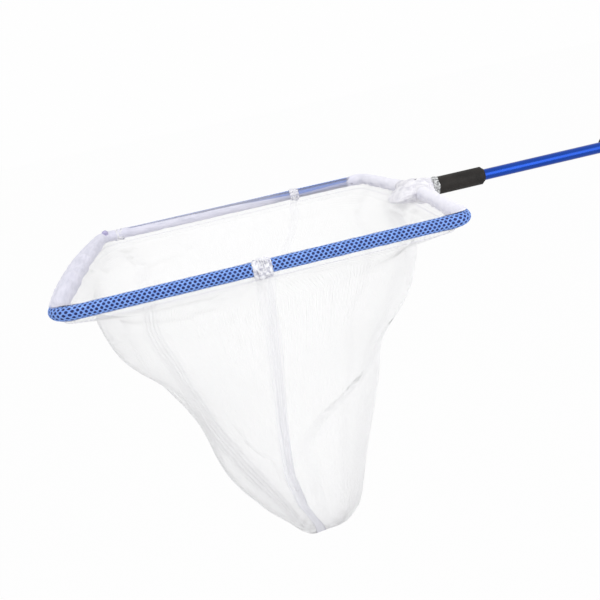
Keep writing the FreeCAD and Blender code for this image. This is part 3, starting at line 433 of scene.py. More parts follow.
# A near-black sheet under the honeycomb: painted shade in its open cells, over the blue hose.
CELL_SHADE = yarn("painted_cell_shade", (0.004, 0.008, 0.070), (0.010, 0.020, 0.14), 0.5, sheen=0.0)
BLUE_HOSE = yarn("blue_hose", (0.10, 0.20, 0.58), (0.16, 0.28, 0.68), 0.8)
BLUE_ENAMEL = enamel("blue_enamel", (0.002, 0.045, 0.33), (0.006, 0.060, 0.40))
RUBBER = moulded("black_rubber", (0.010, 0.009, 0.008), (0.024, 0.020, 0.018), 0.6, 1500, 0.05 * MM, 0.25)
PLASTIC = moulded("black_plastic", (0.012, 0.012, 0.013), (0.024, 0.024, 0.026), 0.45, 2200, 0.02 * MM, 0.4)
NYLON = moulded("white_nylon", (0.70, 0.70, 0.66), (0.80, 0.80, 0.77), 0.4, 1800, 0.01 * MM)
STEEL = steel("spring_steel")

CAD_FINISHES = {
    "hoop_wire": STEEL,
    "ferrule_sleeve": RUBBER,
    "ferrule_bush": RUBBER,
    "tang_plug": PLASTIC,
    "tip_tube": BLUE_ENAMEL,
    "middle_tube": BLUE_ENAMEL,
    "handle_tube": BLUE_ENAMEL,
    "middle_collar": PLASTIC,
    "handle_collar": PLASTIC,
    "handle_grip": RUBBER,
    "end_cap": PLASTIC,
    "tip_screw_plug": NYLON,
    "tip_expander": NYLON,
    "tip_cone_nut": NYLON,
    "middle_screw_plug": NYLON,
    "middle_expander": NYLON,
    "middle_cone_nut": NYLON,
}
for node, finish in CAD_FINISHES.items():
    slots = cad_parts[node].data.materials
    slots.clear()
    slots.append(finish)


# The padded edge: blue hose, and the honeycomb strip with its open cells.

CELL_PITCH = 3.5 * MM
ROW_PITCH = 2.4 * MM
HOLE_LONG, HOLE_TALL = 1.14 * MM, 1.16 * MM
CELL_SINKS = ((0.06 * MM, 1.0), (0.34 * MM, 0.96))
GUARD_WRAP = math.radians(125)
RING = 12
WELD = 0.02 * MM
HOSE_INSET, CELL_SHADE_INSET = 1.5 * MM, 0.3 * MM
CLOTH_STEP = 1.5 * MM


def cell_corners(p, q):
    """The outline of one cell of a staggered lattice, as points and edge middles."""
    tip = (p * p / 4 + q * q) / (2 * q)
    side = (q * q / 2 - p * p / 8) / q
    corners = [(p / 2, side), (0, tip), (-p / 2, side), (-p / 2, -side), (0, -tip), (p / 2, -side)]
    outline = []
    for (ax, ay), (bx, by) in zip(corners, corners[1:] + corners[:1]):
        outline += [(ax, ay), ((ax + bx) / 2, (ay + by) / 2)]
    return outline


def honeycomb(name, s_from, s_to, node):
    """The honeycomb strip between two lengths along the hoop, one open cell at a time."""
    outline = cell_corners(CELL_PITCH, ROW_PITCH)
    rows = int(GUARD_WRAP * EDGE_R / ROW_PITCH)
    first, last = math.ceil(s_from / CELL_PITCH), math.floor(s_to / CELL_PITCH)
    points, faces, shared = [], [], {}

    def corner(s, rise):
        key = (round(s / WELD), round(rise / WELD))
        if key not in shared:
            shared[key] = len(points)
            points.append(on_edge(s, rise / EDGE_R, EDGE_R))
        return shared[key]

    for row in range(-rows, rows + 1):
        shift = CELL_PITCH / 2 if row % 2 else 0.0
        for column in range(first, last):
            s, rise = column * CELL_PITCH + shift, row * ROW_PITCH
            rim = [corner(s + x, rise + y) for x, y in outline]
            start = len(points)
            for sink, share in CELL_SINKS:
                for x, y in outline:
                    turn = math.atan2(y, x)
                    px = s + HOLE_LONG * share * math.cos(turn)
                    py = rise + HOLE_TALL * share * math.sin(turn)
                    points.append(on_edge(px, py / EDGE_R, EDGE_R - sink))
            for n in range(RING):
                m = (n + 1) % RING
                faces.append((rim[n], rim[m], start + m, start + n))
                faces.append((start + n, start + m, start + RING + m, start + RING + n))
    return add_piece(make_mesh(name, points, faces), HONEYCOMB, nodes=(node,))


def spread(low, high, count):
    return [low + (high - low) * n / (count - 1) for n in range(count)]


def edge_places(s_from, s_to):
    """Even lengths along the edge, a cloth step apart."""
    return spread(s_from, s_to, int((s_to - s_from) / CLOTH_STEP) + 1)


def edge_sleeve(name, angles, radius, closed=False):
    """A sleeve round the edge, from the neck round the hoop and back."""
    places = edge_places(S_NECK_FRONT, S_NECK_BACK)
    return grid(name, [[on_edge(s, a, radius) for a in angles] for s in places], closed)


def padded_edge():
    """The hose, the painted shade under the honeycomb's open cells and the four runs of honeycomb."""
    runs = {
        "edge_guard_front_right": (S_NECK_FRONT, S_FRONT_TIE),
        "edge_guard_left": (S_FRONT_TIE, S_CORNER_TIE),
        "edge_guard_back": (S_CORNER_TIE, S_BACK_TIE),
        "edge_guard_back_right": (S_BACK_TIE, S_NECK_BACK),
    }
    for node, (s_from, s_to) in runs.items():
        honeycomb(node.replace("edge_", "") + "_cells", s_from, s_to, node)
    ring = spread(0, 2 * math.pi * 35 / 36, 36)
    hose = edge_sleeve("edge_hose", ring, EDGE_R - HOSE_INSET, closed=True)
    add_piece(hose, BLUE_HOSE, nodes=("edge_foam",))
    # The sheet under the honeycomb paints the shade seen in its open cells.
    wrap = spread(-GUARD_WRAP, GUARD_WRAP, 34)
    cell_shade_sleeve = edge_sleeve("guard_cell_shade", wrap, EDGE_R - CELL_SHADE_INSET)
    add_piece(cell_shade_sleeve, CELL_SHADE)


# The rolled hem. Its upper border and how much blue shows through it change along the edge.

def stop_value(place, stops):
    """A value that changes straight between (place, value) stops."""
    for (p0, v0), (p1, v1) in zip(stops, stops[1:]):
        if place <= p1:
            share = min(1.0, max(0.0, (place - p0) / (p1 - p0)))
            return v0 + (v1 - v0) * share
    return stops[-1][1]


S_CORNER_FRONT = hoop.where(CENTRE_X - HALF + BEND_R, -1)
S_CORNER_BACK = hoop.where(CENTRE_X - HALF + BEND_R, 1)
S_ARM_FRONT = hoop.where(CORNER_X - BEND_R, -1)
S_ARM_BACK = hoop.where(CORNER_X - BEND_R, 1)

# (length along the hoop, upper border in degrees, degrees of thin net next to it, how much the net hides,
# how bunched it is)
HEM_STOPS = [
    (S_NECK_FRONT, 48, 6, 1.2, 10),
    (S_ARM_FRONT - 40 * MM, 52, 6, 1.0, 9),
    (S_ARM_FRONT - 14 * MM, 70, 10, 0.8, 6),
    (S_ARM_FRONT + 6 * MM, 114, 10, 0.8, 1),
    (S_CORNER_FRONT - 4 * MM, 112, 10, 0.8, 1),
    (S_CORNER_FRONT + 16 * MM, 60, 8, 1.0, 1),
    (S_CORNER_FRONT + 34 * MM, 42, 6, 1.25, 1),
    (S_CORNER_BACK - 20 * MM, 42, 6, 1.25, 1),
    (S_CORNER_BACK, 62, 6, 1.25, 1),
    (S_CORNER_TIE + 9 * MM, 66, 6, 1.25, 1),
    (S_CORNER_TIE + 14 * MM, 100, 26, 1.25, 1),
    (S_CORNER_TIE + 50 * MM, 100, 30, 1.25, 1),
    (S_BACK_TIE - 60 * MM, 102, 42, 1.2, 1),
    (S_BACK_TIE - 30 * MM, 110, 50, 1.0, 1),
    (S_BACK_TIE - 8 * MM, 116, 52, 0.65, 1),
    (S_BACK_TIE + 6 * MM, 124, 56, 0.6, 1),
    (S_ARM_BACK - 6 * MM, 118, 46, 0.6, 1),
    (S_ARM_BACK + 10 * MM, 60, 6, 1.0, 7),
    (S_NECK_BACK, 46, 6, 1.2, 10),
]
UPPER_STOPS = [(stop[0], math.radians(stop[1])) for stop in HEM_STOPS]
THIN_STOPS = [(stop[0], math.radians(stop[2])) for stop in HEM_STOPS]
HIDE_STOPS = [(stop[0], stop[3]) for stop in HEM_STOPS]
BUNCH_STOPS = [(stop[0], stop[4]) for stop in HEM_STOPS]
HEM_LOW = math.radians(268)
THIN_VEIL = 0.42
VEIL_BLEND = 0.15
HEM_SHARES = spread(0, 1, 34)


def looseness(s):
    """How far the hem stands off the hose: most at the middle of the far end."""
    point, _, _ = hoop.at(s)
    far = max(0.0, (CENTRE_X - 0.85 * HALF - point.x) / (0.15 * HALF + FAR_BOW))
    return min(1.0, far * (0.35 + 0.75 * max(0.0, 1 - (point.y / HALF) ** 2)))


def hem_point(s, share):
    """A point of the hem, from its upper border at share 0 to its lower one at share 1."""
    upper = stop_value(s, UPPER_STOPS)
    angle = upper + (HEM_LOW - upper) * share
    slack = looseness(s)
    inner = max(0.0, -math.cos(angle + 0.35)) ** 1.5
    point = on_edge(s, angle, EDGE_R)
    along = Vector((point.x, point.y * 0.25, point.z))
    pleats = slack * 1.7 * MM * wobble(along, 3.4 * MM, 5)
    bunch = stop_value(s, BUNCH_STOPS) / 10
    pucker = (0.30 + 0.8 * bunch) * MM * wobble(point, 7 * MM)
    pucker += (0.15 + 0.25 * bunch) * MM * wobble(point, 2.5 * MM, 4)
    stand = (0.35 + 0.9 * slack + 0.6 * bunch) * MM + 6.0 * MM * slack * inner
    return on_edge(s, angle, EDGE_R + stand + pucker + pleats * (0.3 + inner))


def bunching(s, share):
    """How much of the net pushed together on the arms lies at a point: streaks of it, thinner low inside."""
    point = hem_point(s, share)
    streaks = 0.5 + 0.9 * wobble(Vector((point.x, point.y * 0.3, point.z)), 4 * MM, 11)
    low = min(1.0, max(0.0, (share - 0.42) / 0.2))
    return min(1.0, max(0.0, 1 - low * (1 - streaks)))


def rolled_hem():
    """The net rolled over the edge, in three runs, thinner along its upper border."""
    runs = {
        "edge_casing_front_right": (S_NECK_FRONT, S_FRONT_TIE),
        "edge_casing_left": (S_FRONT_TIE, S_BACK_TIE),
        "edge_casing_back_right": (S_BACK_TIE, S_NECK_BACK),
    }
    for node, (s_from, s_to) in runs.items():
        places = edge_places(s_from, s_to)
        rows = [[hem_point(s, share) for share in HEM_SHARES] for s in places]
        veil, gather = [], []
        for s in places:
            hide, thin = stop_value(s, HIDE_STOPS), stop_value(s, THIN_STOPS)
            span = HEM_LOW - stop_value(s, UPPER_STOPS)
            veil.append([
                hide * min(1.0, max(THIN_VEIL, (share * span - thin) / VEIL_BLEND)) for share in HEM_SHARES
            ])
            bunch = stop_value(s, BUNCH_STOPS)
            gather.append([1 + (bunch - 1) * bunching(s, share) for share in HEM_SHARES])
        hem = grid(node.replace("edge_casing", "hem"), rows, gather=gather, veil=veil)
        add_piece(hem, HEM_NET, nodes=(node,))


padded_edge()
rolled_hem()


# The bag: rounded sections from the rim to the toe. Its cloth is gathered along folds with their own paths.

# (depth, reach to the far end, near end, front and back, roundness), in millimetres from the hoop's centre
SECTIONS = [
    (5, 150, 152, 146, 144, 16),
    (10, 149, 136, 143, 143, 8),
    (20, 146, 141, 136, 138, 3.2),
    (47, 150, 147, 118, 124, 2.15),
    (84, 141, 137, 100, 104, 2),
    (122, 111, 106, 82, 86, 2),
    (168, 90, 94, 66, 70, 2),
    (228, 77, 73, 56, 58, 2),
    (275, 51, 61, 41, 43, 2),
    (302, 29, 52, 28, 29, 2),
    (317, 18, 42, 16, 17, 2),
    (324, 11, 34, 9, 9, 2),
    (327, 7, 28, 1, 1, 2),
]
RIM_DEPTH, TOE_DEPTH = SECTIONS[0][0], SECTIONS[-1][0]
RIM_BLEND = 16


def smooth_stops(place, rows):
    """The values of rows (place, value, ...) at a place, along a smooth curve through every row."""
    n = 0
    while n < len(rows) - 2 and rows[n + 1][0] < place:
        n += 1
    span = rows[n + 1][0] - rows[n][0]
    t = (place - rows[n][0]) / span

    def slope(k, field):
        k0, k1 = max(k - 1, 0), min(k + 1, len(rows) - 1)
        return (rows[k1][field] - rows[k0][field]) / (rows[k1][0] - rows[k0][0])

    values = []
    for field in range(1, len(rows[0])):
        v0, v1 = rows[n][field], rows[n + 1][field]
        m0, m1 = slope(n, field) * span, slope(n + 1, field) * span
        values.append(
            v0 * (1 + 2 * t) * (1 - t) ** 2 + m0 * t * (1 - t) ** 2
            + v1 * t * t * (3 - 2 * t) - m1 * t * t * (1 - t)
        )
    return values


def rim_reaches():
    """How far the hoop lies from its centre in millimetres, by the angle round it in degrees."""
    reaches = []
    for point in hoop.points:
        away = Vector((point.x - CENTRE_X, point.y))
        if point.x < NECK_X:
            reaches.append((math.degrees(math.atan2(away.y, away.x)) % 360, away.length / MM))
    reaches.sort()
    return [(reaches[-1][0] - 360, reaches[-1][1])] + reaches + [(reaches[0][0] + 360, reaches[0][1])]


RIM = rim_reaches()
RIM_INSET = 2.6


def wall_point(share, depth, values):
    """A point of the smooth bag in millimetres, by its share of the way round from the front's middle."""
    left, right, front, back, power = values
    angle = math.radians(360 * share - 90)
    c, s = math.cos(angle), math.sin(angle)
    k = (abs(c) ** power + abs(s) ** power) ** (-1 / power)
    x = (right if c > 0 else left) * c * k
    y = (back if s > 0 else front) * s * k
    hold = max(0.0, 1 - (depth - RIM_DEPTH) / RIM_BLEND) ** 1.5
    if hold > 0:
        reach = stop_value(math.degrees(angle) % 360, RIM) - RIM_INSET
        x += (reach * c - x) * hold
        y += (reach * s - y) * hold
    return x, y


class Fold:
    """A gather in the cloth: its path as (depth, share), half its width, and how much cloth it holds."""

    def __init__(self, path, width, extra, pleats=0.0):
        self.path, self.width, self.extra, self.pleats = path, width, extra, pleats

    def level(self, depth):
        return stop_value(depth, self.path), stop_value(depth, self.width), stop_value(depth, self.extra)


FRONT_SEAM = [
    (0, -0.006), (65, -0.006), (93, -0.008), (128, -0.014), (164, -0.022), (191, -0.028),
    (224, -0.033), (264, -0.028), (305, 0.004), (327, 0.01),
]
BACK_SEAM = [
    (0, 0.433), (23, 0.433), (40, 0.444), (60, 0.460), (81, 0.479), (108, 0.485), (133, 0.490),
    (161, 0.496), (196, 0.504), (227, 0.514), (254, 0.522), (282, 0.537), (327, 0.53),
]
FOLDS = [
    Fold(
        [
            (0, 0.625), (45, 0.631), (76, 0.644), (111, 0.675), (151, 0.70), (189, 0.694), (232, 0.661),
            (280, 0.653), (327, 0.69),
        ],
        [(0, 7), (40, 9), (120, 11.5), (220, 11), (327, 7)],
        [(0, 0.2), (30, 1.2), (90, 2.7), (160, 3.0), (327, 2.4)],
        0.35,
    ),
    Fold(
        [
            (0, 0.215), (50, 0.200), (86, 0.175), (136, 0.142), (151, 0.092), (166, 0.047), (179, 0.022),
            (189, 0.008), (204, 0.004), (219, 0.011), (327, 0.02),
        ],
        [(0, 3), (86, 6), (150, 8), (220, 6), (327, 4)],
        [(0, 0.5), (40, 1.4), (86, 1.9), (150, 1.7), (230, 1.5), (327, 1.0)],
        0.12,
    ),
    Fold(
        [(0, 0.86), (120, 0.885), (181, 0.911), (194, 0.928), (202, 0.947), (327, 0.96)],
        [(0, 2), (170, 2), (327, 3)],
        [(0, 0), (150, 0.0), (181, 1.8), (202, 1.8), (230, 0.3), (327, 0.3)],
        0.3,
    ),
    Fold(
        [(0, 0.26), (150, 0.14), (250, 0.10), (327, 0.10)],
        [(0, 10), (150, 24), (327, 18)],
        [(0, 0), (130, 0.0), (200, 0.9), (327, 1.2)],
    ),
    Fold(
        [(0, -0.006), (327, -0.006)],
        [(0, 9), (327, 7)],
        [(0, 5), (8, 4), (16, 1.2), (30, 0), (327, 0)],
        0.3,
    ),
    Fold(
        [(0, 0.27), (327, 0.27)],
        [(0, 44), (40, 26), (90, 12), (327, 8)],
        [(0, 3.2), (40, 1.8), (90, 0.6), (327, 0.3)],
        0.35,
    ),
    Fold(
        [(0, 0.125), (327, 0.12)],
        [(0, 5), (60, 6), (327, 5)],
        [(0, 0.8), (120, 0.8), (327, 0.4)],
        0.4,
    ),
    Fold(
        [(0, 0.36), (60, 0.345), (327, 0.36)],
        [(0, 5), (60, 5), (327, 5)],
        [(0, 1.4), (60, 1.6), (120, 0.6), (327, 0.4)],
        0.5,
    ),
    Fold(
        [(0, 0.875), (150, 0.83), (327, 0.80)],
        [(0, 4), (60, 5), (327, 5)],
        [(0, 0.5), (120, 0.8), (327, 0.6)],
        0.3,
    ),
]


def apart(a, b):
    """How far apart two shares of the way round are."""
    return abs((a - b + 0.5) % 1.0 - 0.5)


SLACK_FROM, SLACK_OVER = 8, 60
TOE_BLEND = 12
PLEAT_PITCH = 5.0
GIRTH_STEPS, SPREAD_STEPS = 72, 420
MAX_GATHER = 14.0


class Level:
    """One level of the bag: where its cloth and folds lie."""

    def __init__(self, depth):
        self.depth = depth
        self.values = smooth_stops(depth, SECTIONS)
        self.folds = [(*fold.level(depth), fold.pleats) for fold in FOLDS]
        corners = [
            Vector(wall_point(n / GIRTH_STEPS, depth, self.values)) for n in range(GIRTH_STEPS + 1)
        ]
        self.girth = sum((b - a).length for a, b in zip(corners, corners[1:]))
        self.slack = min(1.0, max(0.0, (depth - SLACK_FROM) / SLACK_OVER))

    def crowding(self, share):
        """How much more cloth lies here than on a smooth wall."""
        crowd = 1.0
        for path, width, extra, _ in self.folds:
            off = apart(share, path) * self.girth / width
            if off < 3:
                crowd += extra / (1 + off ** 6)
        return crowd

    def point(self, share, lift=0.0):
        """A point on the gathered cloth, in metres; lift stands it off in millimetres."""
        x, y = wall_point(share, self.depth, self.values)
        here = Vector((x, y, 0))
        out = Vector((x * self.values[2], y * self.values[0], 0)).normalized()
        streak = Vector((x, y, self.depth * 0.18))
        sway = 1.5 * wobble(streak, 26) + 0.6 * wobble(streak, 9, 3)
        pleated = 0.0
        for path, width, extra, pleats in self.folds:
            off = apart(share, path) * self.girth
            if pleats and off < 2 * width:
                hold = min(1.0, extra / 2) * pleats / (1 + (off / width) ** 4)
                turn = (share - path + 0.5) % 1.0 - 0.5
                pleated += hold * (1.4 * math.cos(2 * math.pi * turn * self.girth / PLEAT_PITCH) + 1.0)
        toe = min(1.0, (TOE_DEPTH - self.depth) / TOE_BLEND)
        here += out * (self.slack * toe * (sway + pleated) + lift)
        here.z = -self.depth - 0.6 * self.slack * wobble(streak, 14, 6)
        return Vector((CENTRE_X, 0, 0)) + here * MM

    def columns(self, share_from, share_to, places, flat):
        """Where even places across flat cloth of a given width come to lie, and how gathered it is there."""
        steps = SPREAD_STEPS
        shares = spread(share_from, share_to, steps + 1)
        crowds = [self.crowding(share) for share in shares]
        total = [0.0]
        for a, b in zip(crowds, crowds[1:]):
            total.append(total[-1] + (a + b) / 2)
        room = total[-1] * (share_to - share_from) / steps * self.girth
        found, gathers, n = [], [], 0
        for place in places:
            aim = place * total[-1]
            while n < steps - 1 and total[n + 1] < aim:
                n += 1
            part = (aim - total[n]) / (total[n + 1] - total[n])
            found.append(shares[n] + (shares[n + 1] - shares[n]) * part)
            crowd = crowds[n] + (crowds[n + 1] - crowds[n]) * part
            gathers.append(min(MAX_GATHER, flat * crowd / room))
        return found, gathers


RIM_GIRTH = 1185.0
# Each half is cut narrower toward the toe. Smooth cloth on its round sections comes to 0.46 of its
# rectangle.
COLUMNS, BAG_ROWS = 230, 150
BAG_DEPTHS = [RIM_DEPTH + (TOE_DEPTH - RIM_DEPTH) * (n / BAG_ROWS) for n in range(BAG_ROWS + 1)]
LEVELS = [Level(depth) for depth in BAG_DEPTHS]
WALE_LEVELS = LEVELS[::2] + LEVELS[-1:]
WALE_PITCH = 2.6
WALE_R = 0.09 * MM


def small_tube(points, radius, sides=6):
    """Rings of a thin tube along points."""
    rows = []
    for n, point in enumerate(points):
        ahead = (points[min(n + 1, len(points) - 1)] - points[max(n - 1, 0)]).normalized()
        side = ahead.orthogonal().normalized()
        lift = ahead.cross(side)
        turns = [2 * math.pi * k / sides for k in range(sides)]
        rows.append([point + radius * (math.cos(t) * side + math.sin(t) * lift) for t in turns])
    return rows


def join_rows(name, groups):
    """One mesh from many closed tubes, each given as its rings."""
    points, faces = [], []
    for rows in groups:
        wide, start = len(rows[0]), len(points)
        for row in rows:
            points += row
        for r in range(len(rows) - 1):
            for c in range(wide):
                a, b = start + r * wide + c, start + r * wide + (c + 1) % wide
                faces.append((a, b, b + wide, a + wide))
        faces.append(tuple(start + c for c in range(wide - 1, -1, -1)))
        faces.append(tuple(start + (len(rows) - 1) * wide + c for c in range(wide)))
    return make_mesh(name, points, faces)


def panel(name, start, end, wrap, nodes):
    """Half of the bag, from one seam to the other, and the threads that run down it."""
    flat = RIM_GIRTH * (end[0][1] + wrap - start[0][1])
    places = spread(0, 1, COLUMNS + 1)
    rows, gathers = [], []
    for level in LEVELS:
        ends = stop_value(level.depth, start), stop_value(level.depth, end) + wrap
        shares, gathered = level.columns(*ends, places, flat)
        rows.append([level.point(share) for share in shares])
        gathers.append(gathered)
    ones = [[1.0] * len(places)] * len(rows)
    bag = grid(name, rows, across=[flat * place for place in places], gather=gathers, veil=ones)
    add_piece(bag, WHITE_NET, nodes=nodes)

    count = int(flat / WALE_PITCH)
    wales = [[] for _ in range(count)]
    for level in WALE_LEVELS:
        ends = stop_value(level.depth, start), stop_value(level.depth, end) + wrap
        shares, _ = level.columns(*ends, [(n + 0.5) / count for n in range(count)], flat)
        for wale, share in zip(wales, shares):
            wale.append(level.point(share, 0.12))
    threads = join_rows(name + "_wales", [small_tube(wale, WALE_R, 3) for wale in wales])
    add_piece(threads, WALE_THREAD)


panel("net_right", FRONT_SEAM, BACK_SEAM, 0, ("net_right_panel",))
panel("net_left", BACK_SEAM, FRONT_SEAM, 1, ("net_left_panel",))


# The tape that covers each seam, and the stitched band under the edge.

TAPE_SHARES = spread(-1, 1, 11)


def seam_tape(name, seam, widths, nodes=()):
    """Doubled net sewn over a seam: thicker toward the toe, where the cloth is gathered, and painted darker
    there as shade, most along its edges.
    """
    rows, gathers = [], []
    for level in LEVELS[:-3]:
        share = stop_value(level.depth, seam)
        half = stop_value(level.depth, widths) / 2 / level.girth
        row = []
        for place in TAPE_SHARES:
            point = level.point(share + half * place)
            wave = 0.4 * wobble(point, 6 * MM, 9) + 0.25 * wobble(point, 2.2 * MM, 3)
            row.append(level.point(share + half * place, 1.0 + wave + 0.5 * abs(place) ** 4))
        rows.append(row)
        # The gather also turns the tape toward its painted shade: darker toward the toe, most along its
        # edges.
        hold = 0.6 + 6.5 * (level.depth / TOE_DEPTH) ** 3
        gathers.append([hold * (1.0 + 0.7 * abs(place) ** 5) for place in TAPE_SHARES])
    ones = [[1.0] * len(TAPE_SHARES)] * len(rows)
    tape = grid(name, rows, gather=gathers, veil=ones)
    add_piece(tape, TAPE_NET, nodes=nodes)


seam_tape(
    "seam_tape_front", FRONT_SEAM, [(0, 12), (60, 11.5), (128, 9.5), (224, 8.5), (327, 6)],
    ("seam_tape",),
)
seam_tape("seam_tape_back", BACK_SEAM, [(0, 9), (100, 8.5), (327, 6)])


BAND_TOP, BAND_TALL, BAND_ROWS, BAND_COLUMNS = 4.6, 8.4, 8, 721
BAND_VEIL = 0.22


def hem_band():
    """The layers of net stitched together just under the edge."""
    rows = []
    for n in range(BAND_ROWS + 1):
        depth = BAND_TOP + BAND_TALL * n / BAND_ROWS
        level = Level(max(depth, RIM_DEPTH))
        row = []
        for share in spread(0, 1, BAND_COLUMNS):
            point = level.point(share)
            pucker = 0.4 * wobble(point, 3.2 * MM, 2) + 0.4 * wobble(point, 9 * MM, 6)
            point = level.point(share, 0.7 + pucker)
            point.z = -depth * MM
            row.append(point)
        rows.append(row)
    ones = [[1.0] * BAND_COLUMNS] * len(rows)
    band = grid("net_hem", rows, gather=ones, veil=[[BAND_VEIL] * BAND_COLUMNS] * len(rows))
    # The band wears the tape's net, whose lavender-grey is painted shade, thinned by its veil.
    add_piece(band, TAPE_NET, nodes=("net_hem_band",))


STITCH_STEP, STITCH_LENGTH, STITCH_R = 3.0, 2.1, 0.2 * MM


def stitch_line(name, depth, out_by):
    """A row of short stitches round the bag at one depth."""
    level = Level(depth)
    count = int(RIM_GIRTH / STITCH_STEP)
    groups = []
    for k in range(count):
        a, b = k / count, (k + STITCH_LENGTH / STITCH_STEP) / count
        bowed = level.point((a + b) / 2, out_by + 0.3)
        groups.append(small_tube([level.point(a, out_by), bowed, level.point(b, out_by)], STITCH_R))
    add_piece(join_rows(name, groups), HEM_THREAD)


hem_band()
stitch_line("hem_stitches", 9.0, 1.4)


# The ties: gathered net and thread wound round the padded edge.

TIE_ROWS, TIE_SIDES = 24, 80
TIE_THREAD_R = 0.28 * MM


def tie(name, s_middle, length, swell, seed, node):
    """Net wrapped round the edge: crumpled, and fuller underneath."""
    rows = []
    for n in range(2 * TIE_ROWS + 1):
        place = -1 + n / TIE_ROWS
        s = s_middle + place * length / 2
        roll = math.sqrt(max(0.0, 1 - abs(place) ** 4))
        row = []
        for k in range(TIE_SIDES):
            angle = 2 * math.pi * k / TIE_SIDES
            point = on_edge(s, angle, EDGE_R)
            folds = 0.35 * MM * math.sin(9 * angle + 2.5 * place + seed)
            crumple = 1.3 * MM * wobble(point, 3.2 * MM, seed) + 0.7 * MM * wobble(point, 1.5 * MM, seed + 5)
            under = 2.6 * MM * swell * max(0.0, math.cos(angle + math.radians(80))) ** 3
            grown = (1.1 * MM * swell + folds + crumple + under) * roll
            row.append(on_edge(s, angle, EDGE_R + 0.1 * MM + max(0.0, grown)))
        rows.append(row)
    add_piece(grid(name, rows, closed=True), TIE_NET, nodes=(node,))


def tie_thread(name, s_middle, turns, rise, radius, seed):
    """Thread wound round a tie in a few uneven turns."""
    points = []
    for n in range(turns * 24 + 1):
        angle = 2 * math.pi * n / 24
        s = s_middle + rise * (n / (turns * 24) - 0.5) + 0.25 * MM * math.sin(angle * 1.7 + seed)
        points.append(on_edge(s, angle, radius + 0.12 * MM * math.sin(angle * 2.3 + seed)))
    add_piece(join_rows(name, [small_tube(points, TIE_THREAD_R)]), THREAD)


tie("front_tie_wrap", S_FRONT_TIE, 14 * MM, 1.0, 1.0, "front_tie")
tie("back_tie_wrap", S_BACK_TIE, 10 * MM, 0.6, 2.0, "back_tie")
tie("corner_tie_wrap", S_CORNER_TIE, 11 * MM, 0.5, 3.0, "corner_tie")
tie_thread("front_tie_thread", S_FRONT_TIE, 4, 7 * MM, EDGE_R + 1.5 * MM, 1)
tie_thread("back_tie_thread", S_BACK_TIE, 3, 3 * MM, EDGE_R + 0.9 * MM, 2)
tie_thread("corner_tie_thread", S_CORNER_TIE, 3, 3 * MM, EDGE_R + 0.9 * MM, 3)


def corner_knot():
    """The lump of thread beside the corner tie."""
    centre = on_edge(S_CORNER_TIE - 17 * MM, math.radians(128), EDGE_R + 1.6 * MM)
    rows = []
    for n in range(1, 24):
        tilt = math.pi * n / 24
        row = []
        for k in range(32):
            turn = 2 * math.pi * k / 32
            away = Vector((math.sin(tilt) * math.cos(turn), math.sin(tilt) * math.sin(turn), math.cos(tilt)))
            strand = 0.22 * math.sin(9 * turn + 7 * tilt) + 0.3 * wobble(away, 0.5, 2)
            row.append(centre + away * (3.2 + strand) * MM)
        rows.append(row)
    add_piece(grid("corner_knot", rows, closed=True), LILAC_THREAD)


corner_knot()


# The bunched net at the neck: crumpled sleeves on both arms, which meet and go into the ferrule.

def near_end(y):
    """The length along the hoop at which its near end passes a y."""
    n = min(
        range(len(hoop.points)),
        key=lambda k: abs(hoop.points[k].y - y) + (1 if hoop.points[k].x < CENTRE_X + 0.9 * HALF else 0),
    )
    return hoop.along[n]


def arm_sleeve(name, s_from, s_to, swell, seed):
    """Loose net pushed together round one arm; it thins out away from the neck."""
    places = spread(s_from, s_to, 40)
    turns = [2 * math.pi * k / 72 for k in range(72)]
    neck = s_from if abs(hoop.at(s_from)[0].y) < abs(hoop.at(s_to)[0].y) else s_to
    rows = []
    for s in places:
        near = 1 - abs(s - neck) / (s_to - s_from)
        row = []
        for angle in turns:
            point = on_edge(s, angle, EDGE_R)
            crumple = 1.8 * wobble(point, 9 * MM, seed) + 0.7 * wobble(point, 3.2 * MM, seed + 4)
            hang = 2.5 * max(0.0, -math.sin(angle)) ** 2
            lift = 0.6 + near * (swell + hang) + (0.35 + 0.65 * near) * crumple
            row.append(on_edge(s, angle, EDGE_R + max(0.25, lift) * MM))
        rows.append(row)
    add_piece(grid(name, rows, closed=True), NECK_NET)


# (distance from the ferrule's mouth toward the hoop, half width, half height, crumple, sag), in millimetres
NECK_STOPS = [
    (-4, 6.1, 6.1, 0.0, 0.0),
    (-0.6, 6.2, 6.2, 0.1, 0.0),
    (0.2, 7.0, 7.0, 0.3, 0.0),
    (4, 7.9, 7.8, 0.5, 0.0),
    (8, 8.9, 8.7, 0.7, 0.0),
    (16, 12.0, 9.6, 0.8, 0.0),
    (24, 15.5, 9.4, 0.8, 0.2),
    (31, 18.0, 8.0, 0.7, 0.8),
    (37, 18.5, 6.2, 0.6, 1.8),
    (42, 16.5, 4.2, 0.5, 3.0),
    (46, 11.5, 2.2, 0.4, 4.2),
    (48, 0.5, 0.3, 0.0, 5.0),
]


def neck_bunch():
    """The net pushed together in front of the ferrule, flattening out between the arms."""
    rows = []
    for n in range(91):
        back = NECK_STOPS[0][0] + (NECK_STOPS[-1][0] - NECK_STOPS[0][0]) * n / 90
        wide, tall, rough, sag = smooth_stops(back, NECK_STOPS)
        row = []
        for k in range(120):
            angle = 2 * math.pi * k / 120
            away = Vector((0, math.cos(angle), math.sin(angle)))
            base = Vector((FERRULE_X - back * MM, wide * MM * away.y, tall * MM * away.z - sag * MM))
            folds = 0.45 * math.sin(15 * angle + 0.25 * back)
            crumple = 2.0 * wobble(base, 9 * MM, 12) + 0.5 * wobble(base, 3 * MM, 7)
            row.append(base + away * rough * (folds + crumple) * MM)
        rows.append(row)
    add_piece(grid("neck_bunch", rows, closed=True), NECK_NET, nodes=("neck_gather",))


